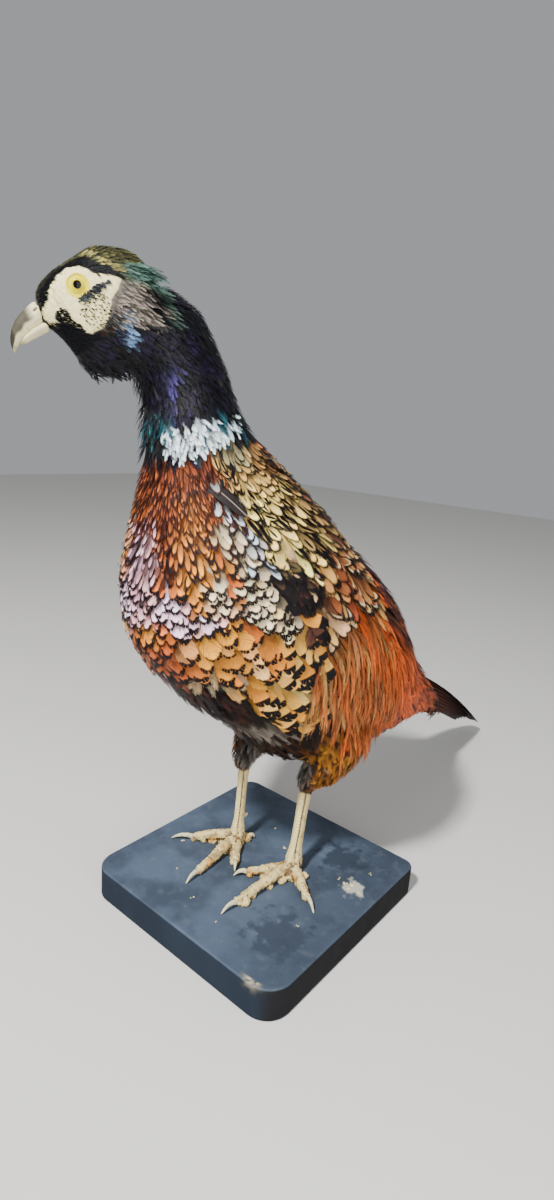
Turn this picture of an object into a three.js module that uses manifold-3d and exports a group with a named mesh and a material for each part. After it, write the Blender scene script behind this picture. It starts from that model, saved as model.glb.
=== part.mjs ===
// A mounted cock pheasant standing on its square wooden base.
// Millimetres, +Z up. The origin is the middle of the underside of the base.
// The bird faces -Y, and its own left side is +X.

import * as THREE from "three";
import { mergeVertices } from "three/addons/utils/BufferGeometryUtils.js";
import Module from "manifold-3d";

const wasm = await Module();
wasm.setup();

// ---- Driving dimensions -------------------------------------------------

const GAP = 0.35;                       // left between pieces that meet

const BASE_SIDE = 178;
const BASE_THICKNESS = 24.2;
const BASE_CORNERS = { frontLeft: 19, frontRight: 17, backRight: 12, backLeft: 9 };
const BASE_EDGE_BEVEL = 1.2;

const HEAD_YAW = 31;                    // degrees, turned to the bird's right
const HEAD_PITCH = 23.6;                // degrees, bill down
const HEAD_ORIGIN = [-26, -144.1, 411.5];   // in the head's middle plane, above the eyes
const EYE_RADIUS = 5.8;
const EYE_PLACE = { forward: -0.9, up: -2.9 };   // from HEAD_ORIGIN
const EYE_CENTRE_OUT = 7.8;             // from the head's middle plane to the eyeball's centre

const PARTING_HEAD = { at: [0, -97, 374], normal: [0, -0.8, 0.6] };
const PARTING_COLLAR = { at: [0, -74, 329], normal: [0, -0.43, 0.9] };
const PARTING_RUMP = { at: [0, 128, 140], normal: [0, -0.86, 0.5] };

const WING_PROUD = 4;                   // how far a folded wing stands off the flank
const WING_DEPTH = 8;                   // how far it is let into the flank
const WING_INNER_X = 12;                // each wing's cutting prism runs from here outwards
const WING_PRISM_WIDTH = 100;

const FOOT_LEVEL = BASE_THICKNESS + GAP;
const ANKLE_HEIGHT = 91;                // where the bare tarsus starts, above the floor
const FEET = {
  left: { sole: [24.7, 10.5], ankle: [24.7, 18.3], tarsus: { wide: 3.5, front: 4.3, back: 6 } },
  right: { sole: [-28.5, 5.9], ankle: [-28.5, 8.4], tarsus: { wide: 3, front: 3.8, back: 4.6 } },
};
const TOE_RADIUS = 4.1;                 // at the root, falling to TOE_TIP_RADIUS
const TOE_TIP_RADIUS = 2.6;

// Where each toe ends and its claw starts (x, y), how high the toe arches, and its claw's length.
const TOES = {
  left: {
    middle: { end: [19.5, -46], arch: 9, claw: 14 },
    outer: { end: [52, -6.5], arch: 8, claw: 14 },
    inner: { end: [3, -17], arch: 6, claw: 10 },
    hind: { end: [15.5, 22], arch: 6, claw: 6 },
  },
  right: {
    middle: { end: [-23, -43], arch: 9, claw: 13 },
    outer: { end: [-56, -16], arch: 11, claw: 18 },
    inner: { end: [-11.5, -14], arch: 6, claw: 9 },
    hind: { end: [-25, 16], arch: 6, claw: 6 },
  },
};

const COLOURS = {
  base: 0x51565f,
  breast: 0xa2532a,
  back: 0xb48a4e,
  rump: 0xb5502b,
  tail: 0x4a3327,
  neck: 0x16202a,
  head: 0x2b3230,
  bill: 0xd9d2b2,
  eye: 0xe3cf3a,
  leg: 0xcbbf9f,
  claw: 0xa89c80,
  thigh: 0x8a5630,
};

// ---- Helpers ------------------------------------------------------------

const vector = (point) => new THREE.Vector3(...point);

// Value of a smooth line through evenly spaced numbers, at t from 0 to 1.
function smoothValue(values, t) {
  const points = values.map((value, index) => new THREE.Vector3(index, value, 0));
  return new THREE.CatmullRomCurve3(points, false, "centripetal").getPoint(t).y;
}

// A closed body through stations. Each station has a place (at), a half-width
// (wide) and a half-depth above and below the line through the places.
// `up` says which way "above" is. `grow` makes the body that much fatter all over.
function loft(stations, { up = [0, 0, 1], rings = 16, sides = 20, grow = 0 } = {}) {
  const line = new THREE.CatmullRomCurve3(stations.map((s) => vector(s.at)), false, "centripetal");
  const widths = stations.map((s) => s.wide);
  const heights = stations.map((s) => s.up);
  const depths = stations.map((s) => s.down ?? s.up);
  const frames = [];
  for (let ring = 0; ring <= rings; ring += 1) {
    const t = ring / rings;
    const along = line.getTangent(t);
    const above = vector(up).addScaledVector(along, -vector(up).dot(along)).normalize();
    const overrun = (ring === rings ? grow : 0) - (ring === 0 ? grow : 0);
    frames.push({
      centre: line.getPoint(t).addScaledVector(along, overrun),
      above,
      across: new THREE.Vector3().crossVectors(along, above),
      wide: Math.max(smoothValue(widths, t), 0.25) + grow,
      up: Math.max(smoothValue(heights, t), 0.25) + grow,
      down: Math.max(smoothValue(depths, t), 0.25) + grow,
    });
  }
  const geometry = new THREE.CylinderGeometry(1, 1, 1, sides, rings);
  const position = geometry.attributes.position;
  for (let index = 0; index < position.count; index += 1) {
    const frame = frames[Math.round((0.5 - position.getY(index)) * rings)];
    const right = position.getX(index);
    const top = -position.getZ(index);
    const place = frame.centre.clone();
    place.addScaledVector(frame.across, right * frame.wide);
    place.addScaledVector(frame.above, top * (top > 0 ? frame.up : frame.down));
    position.setXYZ(index, place.x, place.y, place.z);
  }
  return geometry;
}

// three.js geometry to a manifold solid, and back.
function solid(geometry) {
  const plain = geometry.index ? geometry.toNonIndexed() : geometry.clone();
  plain.deleteAttribute("normal");
  plain.deleteAttribute("uv");
  const merged = mergeVertices(plain, 1e-4);
  const mesh = new wasm.Mesh({
    numProp: 3,
    vertProperties: new Float32Array(merged.attributes.position.array),
    triVerts: new Uint32Array(merged.index.array),
  });
  return new wasm.Manifold(mesh);
}

function geometryOf(body) {
  const mesh = body.getMesh();
  const geometry = new THREE.BufferGeometry();
  geometry.setAttribute("position", new THREE.BufferAttribute(mesh.vertProperties, 3));
  geometry.setIndex(new THREE.BufferAttribute(mesh.triVerts, 1));
  return geometry;
}

// A large block whose one face lies on the parting plane, half a gap clear of it.
// side 1 is the half the normal points to, side -1 is the other.
function halfSpace({ at, normal }, side) {
  const size = 900;
  const block = new THREE.BoxGeometry(size, size, size);
  block.translate(0, 0, size / 2 + GAP / 2);
  const direction = vector(normal).normalize().multiplyScalar(side);
  const turn = new THREE.Quaternion().setFromUnitVectors(new THREE.Vector3(0, 0, 1), direction);
  block.applyQuaternion(turn);
  block.translate(...at);
  return solid(block);
}

const pheasant = new THREE.Group();

function addPart(name, body, colour, roughness = 0.8) {
  const geometry = body.isBufferGeometry ? body : geometryOf(body);
  const material = new THREE.MeshStandardMaterial({ color: colour, roughness, metalness: 0 });
  const mesh = new THREE.Mesh(geometry, material);
  mesh.name = name;
  pheasant.add(mesh);
}

// ---- Base ---------------------------------------------------------------

// A square board with four rounded corners and a small bevel round its top and bottom.
function makeBase() {
  const half = BASE_SIDE / 2 - BASE_EDGE_BEVEL;
  const outline = new THREE.Shape();
  const addCorner = (sideX, sideY, radius, startQuarter) => {
    const x = sideX * (half - radius);
    const y = sideY * (half - radius);
    outline.absarc(x, y, radius, startQuarter * Math.PI / 2, (startQuarter + 1) * Math.PI / 2);
  };
  addCorner(1, 1, BASE_CORNERS.backLeft, 0);
  addCorner(-1, 1, BASE_CORNERS.backRight, 1);
  addCorner(-1, -1, BASE_CORNERS.frontRight, 2);
  addCorner(1, -1, BASE_CORNERS.frontLeft, 3);
  const board = new THREE.ExtrudeGeometry(outline, {
    depth: BASE_THICKNESS - 2 * BASE_EDGE_BEVEL,
    bevelThickness: BASE_EDGE_BEVEL,
    bevelSize: BASE_EDGE_BEVEL,
    bevelSegments: 1,
    curveSegments: 4,
  });
  board.translate(0, 0, BASE_EDGE_BEVEL);
  return solid(board);
}

// ---- Trunk, neck and head ----------------------------------------------

const TRUNK_STATIONS = [
  { at: [0, -84, 350], wide: 25, up: 23, down: 25 },
  { at: [0, -74, 327], wide: 39, up: 35, down: 46 },
  { at: [0, -61, 302], wide: 56, up: 47, down: 68 },
  { at: [0, -44, 274], wide: 69, up: 57, down: 88 },
  { at: [0, -20, 243], wide: 74, up: 65, down: 87 },
  { at: [0, 13, 215], wide: 75, up: 71, down: 82 },
  { at: [0, 47, 186], wide: 72, up: 75, down: 84 },
  { at: [0, 84, 161], wide: 62, up: 69, down: 62 },
  { at: [0, 124, 140], wide: 51, up: 56, down: 40 },
  { at: [0, 165, 125], wide: 39, up: 40, down: 22 },
  { at: [0, 205, 110], wide: 28, up: 24, down: 13 },
  { at: [0, 240, 92], wide: 20, up: 12, down: 9 },
  { at: [0, 256, 82], wide: 9, up: 5, down: 4 },
];

function trunkLoft(grow = 0) {
  return solid(loft(TRUNK_STATIONS, { up: [0, 0.6, 0.8], rings: 20, sides: 22, grow }));
}

const NECK_STATIONS = [
  { at: [-15, -121, 402], wide: 15, up: 19, down: 15 },
  { at: [-9, -105, 390], wide: 20, up: 33, down: 20 },
  { at: [-4, -93, 371], wide: 24, up: 28, down: 23 },
  { at: [-1, -87, 350], wide: 29, up: 28.5, down: 28 },
  { at: [0, -78, 330], wide: 34, up: 34, down: 36 },
  { at: [0, -66, 310], wide: 42, up: 40, down: 41 },
  { at: [0, -52, 289], wide: 31, up: 29, down: 29 },
];

function neckLoft(grow = 0) {
  return solid(loft(NECK_STATIONS, { up: [0, 1, 0.2], rings: 11, sides: 20, grow }));
}

// The head's own directions: forward along the bill, up through the crown, and to its left.
const yaw = THREE.MathUtils.degToRad(HEAD_YAW);
const pitch = THREE.MathUtils.degToRad(HEAD_PITCH);
const HEAD_FORWARD = new THREE.Vector3(
  -Math.sin(yaw) * Math.cos(pitch), -Math.cos(yaw) * Math.cos(pitch), -Math.sin(pitch));
const HEAD_LEFT = new THREE.Vector3(Math.cos(yaw), -Math.sin(yaw), 0);
const HEAD_UP = new THREE.Vector3().crossVectors(HEAD_LEFT, HEAD_FORWARD).negate();

// A point of the head, from its distances forward, up and to the left of HEAD_ORIGIN.
function headPoint(forward, up, left = 0) {
  const place = vector(HEAD_ORIGIN);
  place.addScaledVector(HEAD_FORWARD, forward);
  place.addScaledVector(HEAD_UP, up);
  place.addScaledVector(HEAD_LEFT, left);
  return place.toArray();
}

// One station of the head: top and bottom are its outline, level is where it is widest.
function headStation(forward, top, level, bottom, wide) {
  return { at: headPoint(forward, level), wide, up: top - level, down: level - bottom };
}

const HEAD_STATIONS = [
  headStation(20.5, -3.8, -8, -14, 4.2),
  headStation(17.6, 1.6, -8, -18, 7.4),
  headStation(12.5, 7.3, -8, -27, 10.6),
  headStation(5.4, 10.8, -9, -38.5, 12.2),
  headStation(-2.7, 13.2, -11, -45.5, 13.8),
  headStation(-11.6, 14, -12.5, -47.5, 16),
  headStation(-20.6, 10.6, -14, -49, 17),
  headStation(-27.7, 5.4, -16, -46.5, 16),
  headStation(-34, -4.5, -18, -36, 10.5),
];

function headLoft(grow = 0) {
  return solid(loft(HEAD_STATIONS, { up: HEAD_UP.toArray(), rings: 13, sides: 20, grow }));
}

function fleshLoft(grow = 0) {
  return trunkLoft(grow).add(neckLoft(grow)).add(headLoft(grow));
}

// ---- Bill, eyes and ear tufts ------------------------------------------

function makeUpperBill(grow = 0) {
  const stations = [
    { at: headPoint(12.5, -7.6), wide: 5.6, up: 4.5, down: 5 },
    { at: headPoint(18.8, -7.4), wide: 5.9, up: 5, down: 5.8 },
    { at: headPoint(25, -8.6), wide: 5, up: 4.7, down: 5.6 },
    { at: headPoint(30.4, -10.8), wide: 4.1, up: 3.9, down: 4.7 },
    { at: headPoint(34.6, -14), wide: 3, up: 2.8, down: 3.3 },
    { at: headPoint(37.2, -17.6), wide: 1.8, up: 1.6, down: 1.8 },
    { at: headPoint(38.3, -20.8), wide: 0.6, up: 0.6, down: 0.6 },
  ];
  return solid(loft(stations, { up: HEAD_UP.toArray(), rings: 10, sides: 12, grow }));
}

function makeLowerBill() {
  const stations = [
    { at: headPoint(12.5, -13), wide: 4.8, up: 2.6, down: 2.6 },
    { at: headPoint(18.8, -13.4), wide: 5, up: 2.6, down: 3.1 },
    { at: headPoint(26, -14.6), wide: 4.1, up: 2.3, down: 2.9 },
    { at: headPoint(31.3, -16.2), wide: 3, up: 1.8, down: 2.2 },
    { at: headPoint(34.6, -18), wide: 1.4, up: 0.9, down: 0.9 },
  ];
  return solid(loft(stations, { up: HEAD_UP.toArray(), rings: 7, sides: 10 }));
}

function makeEye(side, grow = 0) {
  const ball = new THREE.SphereGeometry(EYE_RADIUS + grow, 14, 8);
  ball.translate(...headPoint(EYE_PLACE.forward, EYE_PLACE.up, side * EYE_CENTRE_OUT));
  return solid(ball);
}

// The short pointed tuft of feathers behind the ear, which lies back along the nape.
function makeEarTuft(side) {
  const stations = [
    { at: headPoint(-17, 3, side * 9), wide: 3, up: 4, down: 4 },
    { at: headPoint(-27, -1, side * 11), wide: 3.2, up: 4.6, down: 4.6 },
    { at: headPoint(-36, -8, side * 11), wide: 2.2, up: 3.6, down: 3.6 },
    { at: headPoint(-43, -14.5, side * 9.5), wide: 0.7, up: 1, down: 1 },
  ];
  return solid(loft(stations, { up: HEAD_UP.toArray(), rings: 6, sides: 8 }));
}

// ---- Wings --------------------------------------------------------------

// Side view of the folded wing: a leaf round a line from the shoulder to the wing tip.
const WING_LINE = [[-69, 300], [-42, 266], [-4, 230], [42, 193], [90, 158], [126, 132]];
const WING_HALF_WIDTHS = [8, 26, 35, 34, 24, 2];
const WING_STEPS = 10;

function wingPrism(side, grow = 0) {
  const line = new THREE.SplineCurve(WING_LINE.map(([y, z]) => new THREE.Vector2(y, z)));
  const upper = [];
  const lower = [];
  for (let step = 0; step <= WING_STEPS; step += 1) {
    const t = step / WING_STEPS;
    const along = line.getTangent(t);
    const out = new THREE.Vector2(-along.y, along.x);
    const halfWidth = smoothValue(WING_HALF_WIDTHS, t) + grow;
    const overrun = (step === WING_STEPS ? grow : 0) - (step === 0 ? grow : 0);
    const place = line.getPoint(t).addScaledVector(along, overrun);
    upper.push(place.clone().addScaledVector(out, halfWidth));
    lower.push(place.clone().addScaledVector(out, -halfWidth));
  }
  const prism = new THREE.ExtrudeGeometry(new THREE.Shape([...upper, ...lower.reverse()]), {
    depth: WING_PRISM_WIDTH,
    bevelEnabled: false,
  });
  prism.applyMatrix4(new THREE.Matrix4().makeBasis(
    new THREE.Vector3(0, 1, 0), new THREE.Vector3(0, 0, 1), new THREE.Vector3(1, 0, 0)));
  prism.translate(side > 0 ? WING_INNER_X : -WING_INNER_X - WING_PRISM_WIDTH, 0, 0);
  return solid(prism);
}

// The wing is a shell of the trunk's own form, proud of it and let into it.
function makeWing(side, grow = 0) {
  const outside = trunkLoft(WING_PROUD + grow).intersect(wingPrism(side, grow));
  return outside.subtract(trunkLoft(-WING_DEPTH - grow));
}

// ---- Tail ---------------------------------------------------------------

function makeTail() {
  const stations = [
    { at: [0, 195, 133], wide: 24, up: 10, down: 12 },
    { at: [0, 230, 121], wide: 24, up: 12, down: 14 },
    { at: [0, 262, 103], wide: 22, up: 13, down: 14 },
    { at: [0, 295, 81], wide: 18, up: 12, down: 12 },
    { at: [0, 330, 61], wide: 14, up: 9, down: 9 },
    { at: [0, 370, 38], wide: 9, up: 6, down: 5.5 },
    { at: [0, 413, 11.5], wide: 2.5, up: 1.5, down: 1.5 },
  ];
  return solid(loft(stations, { up: [0, 0.4, 0.9], rings: 10, sides: 12 }));
}

// ---- Legs ---------------------------------------------------------------

// The feathered upper leg, from inside the flank down to the ankle.
function makeThigh(side, { ankle: [ankleX, ankleY] }) {
  const stations = [
    { at: [side * 40, 36, 165], wide: 25, up: 32, down: 32 },
    { at: [side * 40, 31, 136], wide: 23, up: 30, down: 28 },
    { at: [side * 35, 26, 115], wide: 16, up: 21, down: 19 },
    { at: [ankleX + side * 2, ankleY + 1.5, 102], wide: 9, up: 10.5, down: 10.5 },
    { at: [ankleX, ankleY, ANKLE_HEIGHT + GAP], wide: 5.2, up: 6.2, down: 5.6 },
  ];
  return solid(loft(stations, { up: [0, 1, 0], rings: 9, sides: 12 }));
}

// The bare lower leg, flared into the ball of the foot.
function makeTarsus({ sole, ankle, tarsus: { wide, front, back } }, grow = 0) {
  const station = (height, side, behind, ahead) => {
    const part = (height - BASE_THICKNESS) / (ANKLE_HEIGHT - BASE_THICKNESS);
    const x = THREE.MathUtils.lerp(sole[0], ankle[0], part);
    const y = THREE.MathUtils.lerp(sole[1], ankle[1], part);
    return { at: [x, y, height], wide: wide + side, up: back + behind, down: front + ahead };
  };
  const stations = [
    station(ANKLE_HEIGHT, 0.9, 0.8, 0.7),
    station(79, 0.1, 0, 0),
    station(62, 0, 0, 0),
    station(47, 0.3, 0, 0.4),
    station(36, 2.2, 1, 2.6),
    station(FOOT_LEVEL - 1, 2.6, 1.4, 2.8),
  ];
  return solid(loft(stations, { up: [0, 1, 0], rings: 10, sides: 10, grow }));
}

// A short blunt spur on the back of the lower leg, pointing back and a little inwards.
function makeSpur(side, { sole: [x, y] }) {
  const stations = [
    { at: [x, y + 2, 48.5], wide: 2.6, up: 2.8, down: 2.8 },
    { at: [x - side * 0.8, y + 6.6, 48.2], wide: 1.9, up: 2, down: 2 },
    { at: [x - side * 1.4, y + 9.4, 48.8], wide: 0.7, up: 0.7, down: 0.7 },
  ];
  return solid(loft(stations, { rings: 4, sides: 6 }));
}

// A toe runs from inside the ball of the foot, over a low arch, to where its claw starts.
function makeToe({ sole }, { end, arch }, grow = 0) {
  const station = (part, height, radius) => ({
    at: [
      THREE.MathUtils.lerp(sole[0], end[0], part),
      THREE.MathUtils.lerp(sole[1], end[1], part),
      FOOT_LEVEL + height,
    ],
    wide: radius,
    up: radius * 0.95,
    down: Math.min(radius, height - 0.3),
  });
  const stations = [
    station(0, arch * 0.8, TOE_RADIUS),
    station(0.34, arch * 0.72, TOE_RADIUS * 0.94),
    station(0.68, arch * 0.55, TOE_RADIUS * 0.8),
    station(1, TOE_TIP_RADIUS + 0.8, TOE_TIP_RADIUS),
  ];
  return solid(loft(stations, { rings: 7, sides: 8, grow }));
}

// A claw carries on from its toe, bows upwards and hooks down to a point on the base.
function makeClaw({ sole }, { end, claw }) {
  const away = new THREE.Vector2(end[0] - sole[0], end[1] - sole[1]).normalize();
  const station = (distance, height, radius) => ({
    at: [end[0] + away.x * distance, end[1] + away.y * distance, FOOT_LEVEL + height],
    wide: radius * 0.85,
    up: radius,
    down: radius,
  });
  const stations = [
    station(0, TOE_TIP_RADIUS + 0.8, TOE_TIP_RADIUS - 0.4),
    station(claw * 0.35, TOE_TIP_RADIUS + 2.1, TOE_TIP_RADIUS - 0.8),
    station(claw * 0.68, TOE_TIP_RADIUS + 1.1, TOE_TIP_RADIUS - 1.3),
    station(claw * 0.9, TOE_TIP_RADIUS - 1, TOE_TIP_RADIUS - 1.8),
    station(claw, 0.7, 0.4),
  ];
  return solid(loft(stations, { rings: 5, sides: 6 }));
}

function addLeg(sideName, side, body) {
  const foot = FEET[sideName];
  const aboveBase = halfSpace({ at: [0, 0, FOOT_LEVEL - GAP / 2], normal: [0, 0, 1] }, 1);
  let taken = makeTarsus(foot, GAP);
  addPart(`thigh_${sideName}`, makeThigh(side, foot).subtract(body.add(taken)), COLOURS.thigh, 0.9);
  addPart(`tarsus_${sideName}`, makeTarsus(foot).intersect(aboveBase), COLOURS.leg, 0.7);
  addPart(`spur_${sideName}`, makeSpur(side, foot).subtract(taken), COLOURS.claw, 0.5);
  for (const [toeName, toe] of Object.entries(TOES[sideName])) {
    const grown = makeToe(foot, toe, GAP);
    const toeBody = makeToe(foot, toe).subtract(taken).intersect(aboveBase);
    const clawBody = makeClaw(foot, toe).subtract(grown).intersect(aboveBase);
    addPart(`toe_${toeName}_${sideName}`, toeBody, COLOURS.leg, 0.7);
    addPart(`claw_${toeName}_${sideName}`, clawBody, COLOURS.claw, 0.5);
    taken = taken.add(grown);
  }
}

// ---- The whole mount ----------------------------------------------------

addPart("base", makeBase(), COLOURS.base, 0.6);

const eyes = { left: makeEye(1), right: makeEye(-1) };
const eyeSockets = makeEye(1, GAP).add(makeEye(-1, GAP));
const recesses = makeWing(1, GAP).add(makeWing(-1, GAP));
const flesh = fleshLoft().subtract(eyeSockets).subtract(recesses);
const head = flesh.intersect(halfSpace(PARTING_HEAD, 1));
const belowHead = flesh.intersect(halfSpace(PARTING_HEAD, -1));
const neck = belowHead.intersect(halfSpace(PARTING_COLLAR, 1));
const belowNeck = belowHead.intersect(halfSpace(PARTING_COLLAR, -1));
addPart("head", head, COLOURS.head);
addPart("neck", neck, COLOURS.neck);
addPart("trunk", belowNeck.intersect(halfSpace(PARTING_RUMP, 1)), COLOURS.breast);
addPart("rump", belowNeck.intersect(halfSpace(PARTING_RUMP, -1)), COLOURS.rump);

const fleshGrown = fleshLoft(GAP);
addPart("bill_upper", makeUpperBill().subtract(fleshGrown), COLOURS.bill, 0.45);
const lowerBill = makeLowerBill().subtract(fleshGrown).subtract(makeUpperBill(GAP));
addPart("bill_lower", lowerBill, COLOURS.bill, 0.45);
addPart("eye_left", eyes.left, COLOURS.eye, 0.1);
addPart("eye_right", eyes.right, COLOURS.eye, 0.1);
addPart("ear_tuft_left", makeEarTuft(1).subtract(fleshGrown), COLOURS.head);
addPart("ear_tuft_right", makeEarTuft(-1).subtract(fleshGrown), COLOURS.head);
addPart("wing_left", makeWing(1), COLOURS.back);
addPart("wing_right", makeWing(-1), COLOURS.back);
addPart("tail", makeTail().subtract(fleshGrown), COLOURS.tail);

const bodyGrown = fleshGrown.add(recesses);
addLeg("left", 1, bodyGrown);
addLeg("right", -1, bodyGrown);

export default pheasant;
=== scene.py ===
"""Looks of a mounted cock pheasant on its painted wooden base.

One skin replaces the flesh of the frame, and every feather is a vane of mesh
laid over it along the lie of the plumage.
"""

import itertools
import math
from collections import defaultdict, namedtuple
from functools import partial
from types import SimpleNamespace

import bmesh
import bpy
import numpy as np
from mathutils import Matrix, Vector, noise
from mathutils.bvhtree import BVHTree


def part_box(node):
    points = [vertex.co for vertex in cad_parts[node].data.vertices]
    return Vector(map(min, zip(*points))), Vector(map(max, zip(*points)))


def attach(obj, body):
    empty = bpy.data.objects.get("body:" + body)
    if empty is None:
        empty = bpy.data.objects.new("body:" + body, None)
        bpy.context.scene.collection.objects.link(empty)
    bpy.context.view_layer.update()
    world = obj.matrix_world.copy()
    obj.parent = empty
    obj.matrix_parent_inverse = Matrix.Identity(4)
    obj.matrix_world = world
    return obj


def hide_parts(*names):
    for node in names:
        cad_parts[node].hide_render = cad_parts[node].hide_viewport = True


bl_info = {
    "name": "Mounted Pheasant",
    "version": (1, 0, 0),
    "blender": (4, 5, 0),
    "location": "3D View > Sidebar > Pheasant",
    "description": "Builds the plumage, horn, eyes and board of a mounted cock pheasant",
    "category": "Object",
}

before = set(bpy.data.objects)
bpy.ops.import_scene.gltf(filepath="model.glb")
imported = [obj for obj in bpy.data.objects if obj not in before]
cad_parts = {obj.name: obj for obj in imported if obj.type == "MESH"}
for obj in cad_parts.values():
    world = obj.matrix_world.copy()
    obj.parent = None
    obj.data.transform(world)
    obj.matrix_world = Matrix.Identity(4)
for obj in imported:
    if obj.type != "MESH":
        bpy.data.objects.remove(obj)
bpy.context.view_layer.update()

MM = 0.001
BODY = "root"
SIDES = {"left": 1, "right": -1}
TOE_NAMES = ("middle", "outer", "inner", "hind")
FLESH_NODES = ("head", "neck", "trunk", "rump", "wing_left", "wing_right", "thigh_left", "thigh_right")

# ---- Small helpers ----


def linear(code):
    """An sRGB hex colour as linear red, green and blue."""
    values = [int(code[place:place + 2], 16) / 255 for place in (1, 3, 5)]
    return tuple(v / 12.92 if v <= 0.04045 else ((v + 0.055) / 1.055) ** 2.4 for v in values)


def ramp(values, start, end):
    """0 before start, 1 after end, and a smooth rise between them."""
    share = np.clip((np.asarray(values, float) - start) / (end - start), 0, 1)
    return share * share * (3 - 2 * share)


def blend(first, second, share):
    """A mix of two colours, or of two rows of colours, by a share for each row."""
    share = np.asarray(share, float)[..., None]
    return np.asarray(first) * (1 - share) + np.asarray(second) * share


def unit(vectors):
    """The same directions with a length of one."""
    return vectors / np.maximum(np.linalg.norm(vectors, axis=-1, keepdims=True), 1e-12)


def dot(first, second):
    """Row by row dot product, kept as a column."""
    return (first * second).sum(-1, keepdims=True)


def cloud(points, size, seed=0.0):
    """Smooth noise from about -1 to 1 at points in millimetres, in patches of that size."""
    shift = Vector((seed * 7.3, seed * 3.1, seed * 5.7))
    return np.array([noise.noise(Vector(p) / size + shift) for p in points])


def along_line(at, steps, line):
    """Places on a line of points, whose distances along it are its steps."""
    return np.stack([np.interp(at, steps, column) for column in np.transpose(line)], -1)


def line_distance(points, line):
    """Distance from points to a line through several places."""
    points, line = np.asarray(points, float), np.asarray(line, float)
    nearest = np.full(len(points), np.inf)
    for start, end in zip(line[:-1], line[1:]):
        step = end - start
        share = np.clip((points - start) @ step / (step @ step), 0, 1)
        nearest = np.minimum(nearest, np.linalg.norm(points - start - share[:, None] * step, axis=1))
    return nearest


def box_mm(name):
    """The low and the high corner of a frame node's box, in millimetres."""
    return [np.array(corner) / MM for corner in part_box(name)]


def box_middle(name):
    """The middle of a frame node's box, in millimetres."""
    low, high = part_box(name)
    return np.array((low + high) / 2) / MM


# ---- The form of the bird, in millimetres ----

# A line down the middle of the head, neck, trunk and rump. Places on the bird are
# told by how far along it they lie and by the angle round it: 0 on the back,
# 90 on the bird's left side, 180 on the belly.
SPINE = np.array([
    (-45, -176, 402), (-26, -144, 408), (-17, -124, 402), (-9, -105, 388), (-4, -93, 371),
    (-1, -87, 350), (0, -78, 330), (0, -44, 274), (0, -20, 243), (0, 47, 186),
    (0, 84, 161), (0, 124, 140), (0, 205, 110), (0, 256, 82),
], float)
SPINE_STEPS = SPINE[1:] - SPINE[:-1]
SPINE_LENGTHS = np.linalg.norm(SPINE_STEPS, axis=1)
SPINE_STARTS = np.concatenate([[0], np.cumsum(SPINE_LENGTHS)[:-1]])
SPINE_MIDDLES = SPINE_STARTS + SPINE_LENGTHS / 2
SPINE_WAYS = unit(SPINE_STEPS)

HEAD_PITCH = math.radians(23.6)
EYE_FROM_ORIGIN = (-0.9, -2.9)          # forward and up from the head's origin
EYE_RADIUS = 5.8
EYE_CENTRES = {side: box_middle(f"eye_{side}") for side in SIDES}
HEAD_LEFT = unit(EYE_CENTRES["left"] - EYE_CENTRES["right"])
HEAD_FORWARD = np.array([
    HEAD_LEFT[1] * math.cos(HEAD_PITCH), -HEAD_LEFT[0] * math.cos(HEAD_PITCH), -math.sin(HEAD_PITCH)])
HEAD_UP = np.cross(HEAD_FORWARD, HEAD_LEFT)
HEAD_ORIGIN = ((EYE_CENTRES["left"] + EYE_CENTRES["right"]) / 2
               - EYE_FROM_ORIGIN[0] * HEAD_FORWARD - EYE_FROM_ORIGIN[1] * HEAD_UP)


def spine_place(points):
    """How far along the spine line each point lies, its angle round it, and the way the line runs there."""
    points = np.asarray(points, float)
    best = np.full(len(points), np.inf)
    along = np.zeros(len(points))
    foot = np.zeros_like(points)
    for start, step, length, begin in zip(SPINE[:-1], SPINE_STEPS, SPINE_LENGTHS, SPINE_STARTS):
        share = np.clip((points - start) @ step / length ** 2, 0, 1)
        near = start + share[:, None] * step
        distance = np.linalg.norm(points - near, axis=1)
        closer = distance < best
        best = np.where(closer, distance, best)
        along = np.where(closer, begin + share * length, along)
        foot = np.where(closer[:, None], near, foot)
    way = unit(along_line(along, SPINE_MIDDLES, SPINE_WAYS))
    left = unit(np.array([1.0, 0, 0]) - way * way[:, :1])
    back = np.cross(left, way)
    out = points - foot
    angle = np.degrees(np.arctan2(dot(out, left)[:, 0], dot(out, back)[:, 0]))
    return along, angle, way


def head_place(points):
    """Each point's distances forward, up and to the left of the head's origin."""
    out = np.asarray(points, float) - HEAD_ORIGIN
    return out @ HEAD_FORWARD, out @ HEAD_UP, out @ HEAD_LEFT


def head_point(forward, up, left):
    """Places at distances forward, up and to the left of the head's origin."""
    return HEAD_ORIGIN + np.outer(forward, HEAD_FORWARD) + np.outer(up, HEAD_UP) + np.outer(left, HEAD_LEFT)


# The bare face, seen from the side: forward and up of the head's origin.
FACE_OUTLINE = np.array([
    (18.2, -6.5), (13.5, -1.0), (7.5, 4.4), (1.0, 6.4), (-4.6, 4.9), (-10.0, -0.2), (-15.6, -2.9), (-20.6, -6.4),
    (-17.4, -9.6), (-12.4, -13.6), (-9.4, -19.0), (-5.2, -22.8), (1.6, -24.6), (6.6, -20.4), (10.4, -16.0),
    (14.4, -15.4), (19.5, -16.5), (21.5, -12.0),
])


def outline_distance(points, outline):
    """Distance to a closed outline, negative inside it."""
    inside = np.zeros(len(points), bool)
    for start, end in zip(outline, np.roll(outline, -1, axis=0)):
        step = end - start
        crosses = (start[1] > points[:, 1]) != (end[1] > points[:, 1])
        lean = np.where(crosses, (points[:, 1] - start[1]) / (step[1] if step[1] else 1), 0)
        inside ^= crosses & (points[:, 0] < start[0] + lean * step[0])
    nearest = line_distance(points, [*outline, outline[0]])
    return np.where(inside, -nearest, nearest)


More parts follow.
